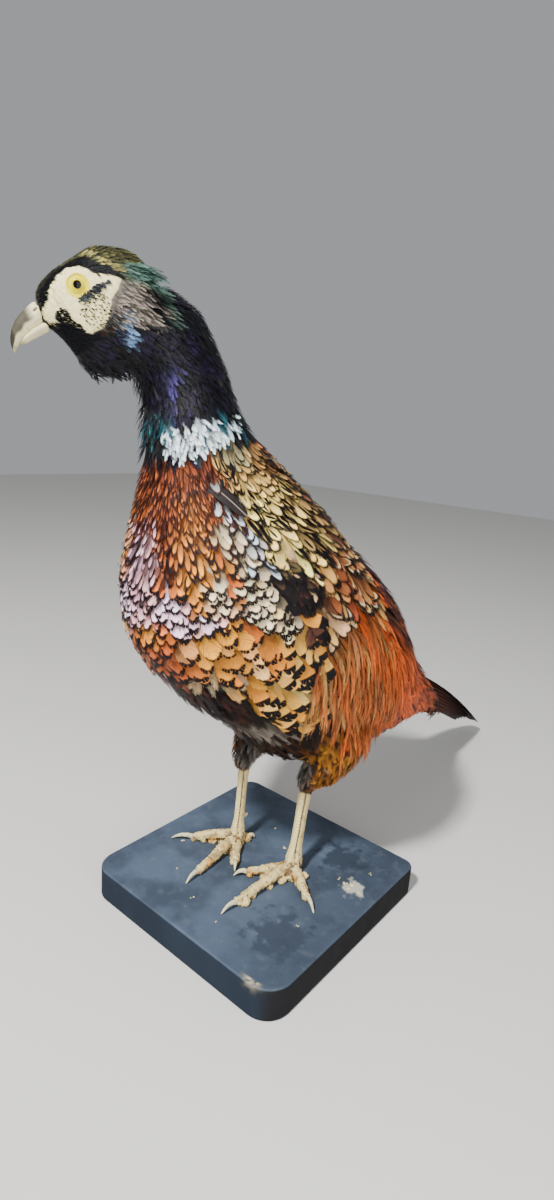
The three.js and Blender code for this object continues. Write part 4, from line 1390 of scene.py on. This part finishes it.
def scute_piece(skins, material):
    """The horny plates on both legs."""
    rows, edges = [], []
    for side, skin in skins.items():
        for line in scute_lines(side, skin):
            edges += [(number, number + 1) for number in range(len(rows), len(rows) + len(line) - 1)]
            rows += line
    points, outward, grown = (np.array(column) for column in zip(*rows))
    mesh = bpy.data.meshes.new("scute_lines")
    mesh.from_pydata(points * MM, edges, [])
    set_attribute(mesh, "outward", outward, "FLOAT_VECTOR")
    set_attribute(mesh, "grown", grown, "FLOAT")
    piece = new_object("leg_scutes", mesh)
    modifier = piece.modifiers.new("scutes", "NODES")
    modifier.node_group = scute_nodes()
    values = {"Spacing": 2.5 * MM, "Width": 2.1 * MM, "Length": 1.75 * MM, "Thickness": 0.55 * MM,
              "Material": material}
    for socket in modifier.node_group.interface.items_tree:
        if socket.in_out == "INPUT" and socket.name in values:
            modifier[socket.identifier] = values[socket.name]
    made_plain(piece)
    set_attribute(piece.data, "ground", np.tile(colours().leg * 1.06, (len(piece.data.vertices), 1)))
    return finish_piece(piece, material, "leg_skin")


def claw_piece(node, material):
    """One claw or spur of cream horn, grained and greyish where it is worn."""
    c = colours()
    piece, points, normals = smooth_horn(node + "_horn", [node], sizes().horn_voxel * 0.9, 3, 0.1)
    grain = cloud(points, 2.5, 16)
    worn = ramp(cloud(points, 5, 17), 0.0, 0.5)
    ground = blend(c.horn, c.culmen, 0.25 * worn) * (1 + 0.1 * grain)[:, None]
    set_attribute(piece.data, "ground", ground)
    place_points(piece.data, points + normals * (0.08 * grain)[:, None])
    return finish_piece(piece, material, "claw_horn", node)


def board_outline():
    """Corner points of the board seen from above, with its four unlike rounded corners."""
    low, high = box_mm("base")
    outline = []
    for sign_x, sign_y, radius, start in ((1, -1, 19, -90), (1, 1, 9, 0), (-1, 1, 12, 90), (-1, -1, 17, 180)):
        x = (high[0] if sign_x > 0 else low[0]) - sign_x * radius
        y = (high[1] if sign_y > 0 else low[1]) - sign_y * radius
        for step in range(15):
            turn = math.radians(start + 90 * step / 14)
            outline.append((x + radius * math.cos(turn), y + radius * math.sin(turn)))
    return np.array(outline)


def board_rings(low, high, bevel=1.6):
    """How far in from the edge, and how high, the rings of points round the board lie."""
    under, over = ([bevel * (1 - turn(t)) for turn in (np.sin, np.cos)] for t in (
        np.linspace(0.3, 1.57, 4), np.linspace(0, 1.57, 6)))
    return [(bevel + 3, low), (bevel, low), *zip(under[0], low + under[1]),
            *((0, height) for height in np.linspace(low + 4, high - 4, 7)),
            *zip(over[1], high - over[0]), (bevel + 1.5, high), (bevel + 3, high)]


CHIP_PLACE = np.array([70.0, -85.0, 23.0])


def board_piece():
    """The painted board, with its rounded edges, worn spots and one chip."""
    low, high = (corner[2] for corner in box_mm("base"))
    closed = board_outline()
    closed = np.concatenate([closed, closed[:1]])
    around = np.concatenate([[0], np.cumsum(np.linalg.norm(np.diff(closed, axis=0), axis=1))])
    count = 600
    edge = along_line(np.linspace(0, around[-1], count, endpoint=False), around, closed)
    ahead = np.roll(edge, -1, axis=0) - np.roll(edge, 1, axis=0)
    outward = unit(np.stack([ahead[:, 1], -ahead[:, 0]], 1))
    rings = board_rings(low, high)
    points = np.concatenate([
        np.column_stack([edge - outward * inset, np.full(count, z)]) for inset, z in rings])
    wear = 0.25 * cloud(points, 9, 20) + 0.15 * cloud(points, 3, 21)
    out = np.column_stack([np.tile(outward, (len(rings), 1)), np.zeros(len(points))])
    near_rim = np.array([inset < 3 for inset, _ in rings]).repeat(count)
    at_edge = np.exp(-(np.abs(points[:, 2] - high) / 2.5) ** 2) * near_rim
    chipped = np.exp(-(np.linalg.norm((CHIP_PLACE - points) * [0.6, 1, 1], axis=1) / 2.8) ** 2)
    chipped[-count:] = 0
    points = points - out * (np.abs(wear) * at_edge * 0.9 + 1.1 * chipped)[:, None]
    points[:, 2] -= chipped * 0.9
    top = len(points) - count
    faces = [(low_ring + here, low_ring + after, low_ring + after + count, low_ring + here + count)
             for low_ring in range(0, top, count) for here, after in zip(range(count), [*range(1, count), 0])]
    faces += [tuple(range(count))[::-1], tuple(range(top, top + count))]
    mesh = mesh_from("painted_board", points, faces)
    bare = np.clip(chipped * 1.6, 0, 1) * ramp(cloud(points, 2.5, 22), -0.5, 0.1)
    bare[-count:] = 0
    set_attribute(mesh, "bare", bare, "FLOAT")
    return new_object("painted_board", mesh)


# Darker and paler patches on the board: their middle and size in metres, strength and tone.
BOARD_PATCHES = (
    (0.042, 0.052, 0.019, 0.8, "dark"), (0.058, -0.045, 0.022, 0.7, "dull"),
    (0.068, 0.028, 0.009, 0.8, "splash"))


def board_material():
    """Slate-blue gloss paint, brushed unevenly, scuffed and dusty, with bare wood in the chip, and painted shade
    on its sides and towards the bird's left.
    """
    material, add, shader = start_material("slate_paint_worn")
    place = add("TexCoord", out="Object")
    paint = colours().paint
    broad, middling, fine = (
        add("TexNoise", place, scale, detail) for scale, detail in ((26, 5), (120, 5), (900, 3)))
    colour = add("Mix RGBA", add("MapRange SMOOTHSTEP", broad, 0.36, 0.62), paint * 0.62, paint * 1.15)
    across = add("SeparateXYZ", place)
    # Painted shade, darker towards the bird's left, then dusty patches and fine pale grit.
    dusty = blend(paint, [0.6, 0.6, 0.6], 0.3)
    for value, start, end, strength, tone in (
            (across, 0.0, 0.09, 0.55, paint * 0.35), (middling, 0.5, 0.8, 0.15, dusty),
            (fine, 0.7, 0.78, 0.35, (0.5, 0.5, 0.47))):
        share = add("MULTIPLY", add("MapRange SMOOTHSTEP", value, start, end), strength)
        colour = add("Mix RGBA", share, colour, tone)
    tones = {"dark": paint * 0.35, "dull": paint * 0.4, "splash": (0.55, 0.53, 0.44)}
    for x, y, size, strength, tone in BOARD_PATCHES:
        away = add("VectorMath DISTANCE", place, (x, y, 0.024))
        ragged = add("MULTIPLY", add("SUBTRACT", middling, 0.5), size * 3)
        reach = add("MapRange SMOOTHSTEP", add("ADD", away, ragged), size * 0.5, size * 1.1)
        share = add("MULTIPLY", add("SUBTRACT", 1.0, reach), strength)
        colour = add("Mix RGBA", share, colour, tones[tone])
    # Painted shade: the sides darker than the top, and the side facing the bird's left nearly black.
    right, _, up = add("SeparateXYZ", add("NewGeometry", out="Normal")).node.outputs
    side = add("SUBTRACT", 1.0, add("MapRange SMOOTHSTEP", up, 0.2, 0.8))
    right = add("MapRange SMOOTHSTEP", right, 0.2, 0.8)
    side_shade = add("Mix RGBA", right, paint * 0.22, (0.012, 0.01, 0.009))
    colour = add("Mix RGBA", add("MULTIPLY", side, 0.9), colour, side_shade)
    bare = add("Attribute bare", out="Fac")
    colour = add("Mix RGBA", bare, colour, (0.66, 0.55, 0.34))
    height = add("ADD", add("MULTIPLY", middling, 0.7), add("MULTIPLY", fine, 0.3))
    fill(shader, Base_Color=colour, Specular_IOR_Level=add("MULTIPLY_ADD", side, -0.2, 0.22),
         Roughness=add("MapRange", middling, To_Min=0.45, To_Max=0.75),
         Normal=add("Bump", Height=height, Strength=0.5, Distance=0.35 * MM))
    return material


# Specks of glue and plaster on the board: across and back from its middle, and their size.
SPECKS = ((68, 28, 3.0), (62, 29, 2.0), (76, 28, 1.8), (-62, -22, 1.6), (2, 30, 1.7), (-20, 44, 1.1),
          (62, -30, 0.9), (-40, -48, 1.0), (20, -66, 0.9), (70, 52, 1.0), (55, 30, 1.2), (-8, -62, 1.3))


def speck_piece():
    """Small lumps of glue and plaster left on the board round the feet."""
    rng = np.random.default_rng(5)
    shape = bmesh.new()
    floor = box_mm("base")[1][2]
    for x, y, size in SPECKS:
        for _ in range(3):
            place = (x + rng.normal(0, size * 0.6), y + rng.normal(0, size * 0.6), floor + size * 0.1)
            add_lump(shape, place, size * rng.uniform(0.3, 0.6), rng)
    mesh = mesh_of(shape, "glue_specks")
    points = points_of(mesh)
    points[:, 2] = floor + np.maximum(points[:, 2] - floor, 0) * 0.6
    place_points(mesh, points)
    set_attribute(mesh, "ground", np.tile(colours().face * 0.9, (len(points), 1)))
    return new_object("glue_specks", mesh)


# ---- Long feathers ----


def straight_paths(starts, ends, outs, bows, half_width, steps=8):
    """Shafts from starts to ends, bowed outward, for feathers that don't lie on the skin."""
    share = np.linspace(0, 1, steps + 1)[None, :, None]
    bow = (np.sin(np.pi * share) * bows[:, None, None]) * outs[:, None]
    shaft = starts[:, None] * (1 - share) + ends[:, None] * share + bow
    way = unit(np.gradient(shaft, axis=1))
    side = unit(np.cross(way, np.broadcast_to(outs[:, None], way.shape)))
    normal = unit(np.cross(side, way))
    return shaft, normal, side, np.zeros((len(starts), 2)), half_width


def quill_material(name, **values):
    """Long quill: a vane with edges of another tint, crossed by bars that have the colour of its shaft."""
    material, add, shader = start_material(name, **values)
    across, along, _ = add("SeparateXYZ", add("UVMap Vane")).node.outputs
    off_shaft = add("ABSOLUTE", add("MULTIPLY_ADD", across, 2.0, -1.0))
    length, bar, _ = add("SeparateXYZ", add("Attribute pattern", out="Vector")).node.outputs
    slanted = add("MULTIPLY", add("MULTIPLY_ADD", off_shaft, -0.02, along), length)
    stretched = add("CombineXYZ", add("MULTIPLY", slanted, 1.4), add("MULTIPLY", across, 3.0))
    barbs = add("TexNoise", stretched, 1.0)
    wavy = add("MULTIPLY_ADD", barbs, 1.6, slanted)
    wave = add("SINE", add("MULTIPLY", wavy, add("DIVIDE", 2 * math.pi, bar)))
    inside = add("MapRange SMOOTHSTEP", add("SUBTRACT", 1.0, off_shaft), 0.15, 0.4)
    dark = add("MULTIPLY", add("MapRange SMOOTHSTEP", wave, 0.35, 0.7), inside)
    ground, accent, mark = (add(f"Attribute {layer}") for layer in ("ground", "accent", "mark"))
    colour = add("Mix RGBA", add("MapRange SMOOTHSTEP", off_shaft, 0.55, 0.9), ground, accent)
    colour = add("Mix RGBA", dark, colour, mark)
    shaft = add("SUBTRACT", 1.0, add("MapRange SMOOTHSTEP", off_shaft, 0.03, 0.08))
    colour = add("Mix RGBA", shaft, colour, mark)
    fill(shader, Base_Color=shaded(add, colour, add("MULTIPLY_ADD", barbs, 0.6, 0.7)),
         Normal=add("Bump", Height=barbs, Strength=0.5, Distance=0.15 * MM))
    return material


QUILLS = [quill._replace(lift=quill.lift * 0.1) for quill in templates(
    7, 4, barbs=34, sweep=0.06, ragged=0.04, gap=0.0, point=0.6, root=0.02)]


def long_feathers(name, starts, ends, outs, bows, half_width, bar, ground, accent, rng, mark):
    """A piece of several long quills, crossed by bars so many millimetres apart."""
    coat = Coat()
    count = len(starts)
    form = FORM["skin"]
    length = np.linalg.norm(ends - starts, axis=1)
    look = {
        "ground": ground * rng.normal(1, 0.06, (count, 1)), "mark": np.tile(mark, (count, 1)),
        "accent": accent, "pattern": np.stack([length, np.full(count, bar), np.zeros(count)], 1),
        "pattern_more": np.zeros((count, 3))}
    paths = straight_paths(starts, ends, outs, bows, half_width)
    coat.add_in_turn((*paths, 0.8), QUILLS, look, form.uv[form.nearest(starts)[2]])
    return coat.piece(name)


def tail_piece():
    """Sixteen tail quills in a narrow stack, the middle ones longest."""
    c = colours()
    rng = np.random.default_rng(41)
    root_place, tip_place = np.array([0, 205, 133]), np.array([0, 412, 13])
    quills = []
    for side, rank in itertools.product((1, -1), range(8)):
        share = rank / 7
        root = root_place + [side * (1 + 15 * share ** 0.7), 0, -20 * share ** 1.5]
        way = (tip_place - root_place) * (1 - 0.42 * share ** 0.8)
        tip = root * [0.55, 1, 1] + way + [side * 2, 0, 6 * share]
        out = unit(np.array([side * (0.2 + 1.6 * share), 0.45, 0.85]))
        quills.append((root, tip, out, 6 - 2 * share, 11 - 1.5 * share))
    count = len(quills)
    ground = np.tile(c.tail * 0.85, (count, 1)) * rng.normal(1, 0.15, (count, 1))
    accent = np.tile(blend(c.tail, c.maroon, 0.25), (count, 1))
    columns = (np.array(column) for column in zip(*quills))
    return long_feathers("tail_quills", *columns, 11.0, ground, accent, rng, c.dusk)


def stray_piece():
    """One slate feather with a pale shaft that lies across the others below the collar."""
    c = colours()
    out = unit(np.array([[0.8, -0.5, 0.32]]))
    start, end = np.array([[28.5, -99.5, 322.0]]) - out * 2.5, np.array([[42.5, -87.0, 305.0]]) + out * 4.0
    grey = np.array([c.smoke * [0.05, 0.038, 0.04]])
    unbarred = 999.0
    return long_feathers("slate_feather", start, end, out, np.array([1.5]), np.array([4.2]), unbarred,
                         grey, grey * 0.5, np.random.default_rng(3), c.smoke)


def tuft_piece(material):
    """The feathered ear tufts, that lie back along the sides of the crown."""
    c = colours()
    rng = np.random.default_rng(43)
    form = FORM["skin"]
    coat = Coat()
    count = 60
    line = np.array([(-15, 3.0, 9.2), (-27, -1.5, 10.6), (-36, -8, 10.6), (-43, -14.5, 9.2)])
    steps = np.linspace(0, 1, len(line))
    for sign in SIDES.values():
        share = rng.uniform(0.0, 0.5, count)
        forward, up, left = along_line(share, steps, line).T
        spread = rng.normal(0, 1, (count, 2)).T
        start = head_point(forward, up - 1.5 + spread[0] * 1.7, sign * (left - 1.5 + spread[1] * 0.7))
        forward, up, left = along_line(np.clip(share + rng.uniform(0.36, 0.55, count), 0, 1), steps, line).T
        end = head_point(forward, up + spread[0] * 1.9 + 0.4, sign * (left + 0.6 + spread[1] * 0.9))
        outs = unit(sign * HEAD_LEFT * 0.8 + HEAD_UP * 0.6 + np.zeros((count, 3)))
        outs = unit(outs + rng.normal(0, 0.15, (count, 3)))
        paths = straight_paths(start, end, outs, rng.uniform(0.2, 1.2, count), rng.uniform(0.9, 1.5, count))
        ground = blend(c.nape_green, c.neck_teal, rng.random(count) * 0.06)
        ground = blend(ground, c.neck_black, rng.random(count) * 0.7)
        look = {
            "ground": ground, "mark": np.tile(c.neck_black, (count, 1)), "accent": ground,
            "pattern": np.tile([0.12, -1, 0], (count, 1)),
            "pattern_more": np.stack([np.zeros(count), rng.random(count), np.zeros(count)], 1)}
        coat.add_in_turn((*paths, 0.4), VANES["narrow"], look, form.uv[form.nearest(start)[2]])
    return finish_piece(coat.piece("ear_tufts"), material, "head_plumage", "ear_tuft_left", "ear_tuft_right")


def face_tufts(material):
    """Tiny dark feathers in rows on the bare face, a slate streak behind the eye and a spot by the bill."""
    c = colours()
    form = FORM["skin"]
    rng = np.random.default_rng(47)
    centres = form.points[form.triangles].mean(1)
    face = np.flatnonzero(face_distance(centres) < -0.4)
    roots, triangles = scatter(form, face, np.full(len(face), 0.62), rng, tries=4)
    forward, up, _ = head_place(roots)
    places = np.stack([forward, up], 1)
    streak = line_distance(places, [(2.4, -8.6), (-2.5, -8.0), (-7, -6.4), (-13.4, -5.2)])
    in_streak = streak < np.interp(forward, [-13, -8, -2, 2.5], [0.6, 1.5, 1.3, 0.7])
    spot = np.hypot(forward - 12.2, up + 12.4)
    in_spot = (spot < 3.0) & (spot > 0.55)
    in_spot |= line_distance(places, [(9.5, -14.5), (8.2, -17.5), (5.5, -19.5)]) < 0.6
    in_spot |= line_distance(places, [(17.5, -14.2), (14.0, -15.6), (11.5, -16.4)]) < 0.9
    row, column = forward * 0.94 - up * 0.34, forward * 0.34 + up * 0.94
    cell = np.stack([row / 1.75 + 0.5 * (np.round(column / 1.95) % 2), column / 1.95], 1)
    wobble = 0.2 * np.sin(np.round(cell) @ np.array([[12.9, 4.1], [78.2, 31.7]]))
    off = np.hypot(*((cell - np.round(cell) - wobble) * [1.75, 1.95]).T)
    patch = np.hypot((forward + 4.2) / 8.2, (up + 15.8) / 7.4) < 1
    in_dots = patch & (off < 0.48) & (streak > 1.9)
    kept = np.flatnonzero(in_streak | in_spot | in_dots)
    roots, triangles = roots[kept], triangles[kept]
    plumage = Plumage(roots)
    plumage.kind[:] = KIND_NAMES.index("tiny")
    plumage.scale[:] = np.where(in_streak[kept], 0.5, np.where(in_spot[kept], 0.42, 0.34))
    dark = np.tile(c.neck_black, (len(kept), 1))
    streaky = blend(c.neck_black, c.slate, 0.12 * rng.random(len(kept)) ** 2)
    plumage.ground = np.where(in_streak[kept][:, None], streaky, dark)
    plumage.mark = dark
    return finish_piece(grow_feathers("face_tufts", roots, triangles, plumage, rng), material, "head_plumage")


# ---- The steps, each of which makes one group of pieces ----


class PheasantSkin(bpy.types.Operator):
    """Make the one skin under the plumage, with its bare face and lids"""
    bl_idname = "pheasant.skin"
    bl_label = "Skin"

    def execute(self, context):
        skin = build_skin()
        places = points_of(skin.data)
        plumage = Plumage(places)
        under = plumage.ground * 0.55
        set_attribute(skin.data, "ground", blend(under, face_colour(places).clip(0, 1), plumage.face))
        # Dried bird skin with down on it: matt, in the colour of the plumage, bare and creamy on the face.
        material = ground_material("dried_skin_down", patch_mm=10 / 9, bump_mm=0.2, finer=32 / 9, strength=0.5,
                                   Roughness=0.75, Sheen_Weight=0.15)
        finish_piece(skin, material, "breast_plumage", *FLESH_NODES)
        FORM["skin"] = SkinForm(skin)
        return {"FINISHED"}


class PheasantCoat(bpy.types.Operator):
    """Lay the feathers of the head, neck and body over the skin"""
    bl_idname = "pheasant.coat"
    bl_label = "Coat"

    def execute(self, context):
        form = FORM["skin"]
        rng = np.random.default_rng(sizes().seed)
        glossy = vane_material("feather_vane_glossy", Roughness=0.46, Specular_IOR_Level=0.17)
        velvet = vane_material("feather_vane_velvet", bump_mm=0.02, Roughness=0.6, Specular_IOR_Level=0.1)
        materials = {"neck_plumage": glossy, "head_plumage": velvet}
        satin = vane_material("feather_vane_satin", 0.3, Roughness=0.5, Specular_IOR_Level=0.12)
        centres = form.points[form.triangles].mean(1)
        whole = Plumage(centres)
        spacing = np.maximum(whole.of_kind("spacing") * whole.scale * sizes().feather_scale, 0.5)
        for name, (kinds, slot) in PIECES.items():
            numbers = [KIND_NAMES.index(kind) for kind in kinds]
            ground = np.flatnonzero(np.isin(whole.kind, numbers))
            roots, triangles = scatter(form, ground, spacing[ground], rng)
            kept = np.isin(Plumage(roots).kind, numbers)
            piece = grow_feathers(name, roots[kept], triangles[kept], Plumage(roots[kept]), rng,
                                  steps=9 if name in ("coat_strands", "coat_rump") else 6)
            finish_piece(piece, materials.get(slot, satin), slot)
        return {"FINISHED"}


class PheasantHead(bpy.types.Operator):
    """Make the glass eyes, the bill, the ear tufts and the tiny feathers of the face"""
    bl_idname = "pheasant.head"
    bl_label = "Head"

    def execute(self, context):
        glass = eye_material()
        for side in SIDES:
            eye_piece(side, glass)
        horn = ground_material("bill_horn_dry", 3, 0.1, Roughness=0.6, Specular_IOR_Level=0.2)
        for node in ("bill_upper", "bill_lower"):
            bill_piece(node, horn)
        material = bpy.data.materials["feather_vane_velvet"]
        tuft_piece(material)
        face_tufts(material)
        return {"FINISHED"}


class PheasantTail(bpy.types.Operator):
    """Make the tail quills and the stray feather of the breast"""
    bl_idname = "pheasant.tail"
    bl_label = "Tail"

    def execute(self, context):
        material = quill_material("feather_quill_barred", Roughness=0.55, Specular_IOR_Level=0.15)
        finish_piece(tail_piece(), material, "tail_feathers", "tail")
        finish_piece(stray_piece(), material, "breast_plumage")
        return {"FINISHED"}


class PheasantLegs(bpy.types.Operator):
    """Make the skin of the legs and toes with its plates, the claws and the spurs"""
    bl_idname = "pheasant.legs"
    bl_label = "Legs"

    def execute(self, context):
        material = ground_material("dried_leg_skin", 2.2, 0.25, Roughness=0.6)
        skins = {side: leg_piece(side, material) for side in SIDES}
        scute_piece(skins, material)
        horn = ground_material("claw_horn_dry", 2.5, 0.12, Roughness=0.45)
        for side in SIDES:
            for node in (f"spur_{side}", *(f"claw_{toe}_{side}" for toe in TOE_NAMES)):
                claw_piece(node, horn)
        return {"FINISHED"}


class PheasantBoard(bpy.types.Operator):
    """Make the painted board and the specks of glue on it"""
    bl_idname = "pheasant.board"
    bl_label = "Board"

    def execute(self, context):
        finish_piece(board_piece(), board_material(), "painted_wood", "base")
        glue = ground_material("dry_glue", 1.5, 0.1, Roughness=0.6)
        finish_piece(speck_piece(), glue, "painted_wood")
        return {"FINISHED"}


class PheasantShowcase(bpy.types.Operator):
    """Make the floor, the lights and the camera"""
    bl_idname = "pheasant.stage"
    bl_label = "Stage"

    def execute(self, context):
        stage = context.scene.pheasant_stage
        reach = 3000
        corners = [(-reach, -reach, 0), (reach, -reach, 0), (reach, reach, 0), (-reach, reach, 0)]
        floor = new_object("floor", mesh_from("floor", corners, [(0, 1, 2, 3)]))
        floor.data.materials.append(start_material("matt_paper", Base_Color=stage.floor, Roughness=0.9)[0])
        world = bpy.data.worlds.new("studio")
        world.use_nodes = True
        fill(world.node_tree.nodes["Background"], (0.85, 0.87, 0.9), 0.42)
        context.scene.world = world
        for name, place, power, size in (
                ("key_light", (130, -1000, 1330), stage.key_power, 0.12),
                ("fill_light", (900, -500, 500), stage.fill_power, 0.9)):
            lamp = bpy.data.lights.new(name, "AREA")
            lamp.energy = power
            lamp.size = size
            thing = new_object(name, lamp)
            thing.location = Vector(place) * MM
            thing.rotation_euler = (Vector((0, 0, 220)) - Vector(place)).to_track_quat("-Z", "Y").to_euler()
        lens = bpy.data.cameras.new("camera")
        lens.lens = stage.lens
        lens.sensor_width = 36
        camera = new_object("camera", lens)
        right = Vector((0.76698, 0.63755, 0.07262))
        upward = Vector((-0.21955, 0.15439, 0.96331))
        backward = Vector((0.60295, -0.75478, 0.25838))
        turn = Matrix((right, upward, backward)).transposed().to_4x4()
        camera.matrix_world = Matrix.Translation(Vector((272.65, -342.81, 353.38)) * MM) @ turn
        context.scene.camera = camera
        return {"FINISHED"}


STEPS = (PheasantSkin, PheasantCoat, PheasantHead, PheasantTail, PheasantLegs, PheasantBoard, PheasantShowcase)


class PheasantPanel(bpy.types.Panel):
    """Lists the steps and the settings"""
    bl_idname = "VIEW3D_PT_pheasant"
    bl_label = "Pheasant"
    bl_space_type = "VIEW_3D"
    bl_region_type = "UI"
    bl_category = "Pheasant"

    def draw(self, context):
        for step in STEPS:
            self.layout.operator(step.bl_idname)
        for group in ("pheasant_sizes", "pheasant_colours", "pheasant_stage"):
            settings = getattr(context.scene, group)
            for name in settings.__annotations__:
                self.layout.prop(settings, name)


GROUPS = {"pheasant_colours": PheasantColours, "pheasant_sizes": PheasantSizes, "pheasant_stage": PheasantStage}


def register():
    """Adds the settings, steps and panel to Blender."""
    for kind in (*GROUPS.values(), *STEPS, PheasantPanel):
        bpy.utils.register_class(kind)
    for name, group in GROUPS.items():
        setattr(bpy.types.Scene, name, bpy.props.PointerProperty(type=group))


def unregister():
    """Takes them out again."""
    for name in GROUPS:
        delattr(bpy.types.Scene, name)
    for kind in (PheasantPanel, *reversed(STEPS), *GROUPS.values()):
        bpy.utils.unregister_class(kind)


def main():
    """Builds all pieces in order."""
    register()
    for step in STEPS:
        group, name = step.bl_idname.split(".")
        getattr(getattr(bpy.ops, group), name)()


if __name__ == "__main__":
    main()
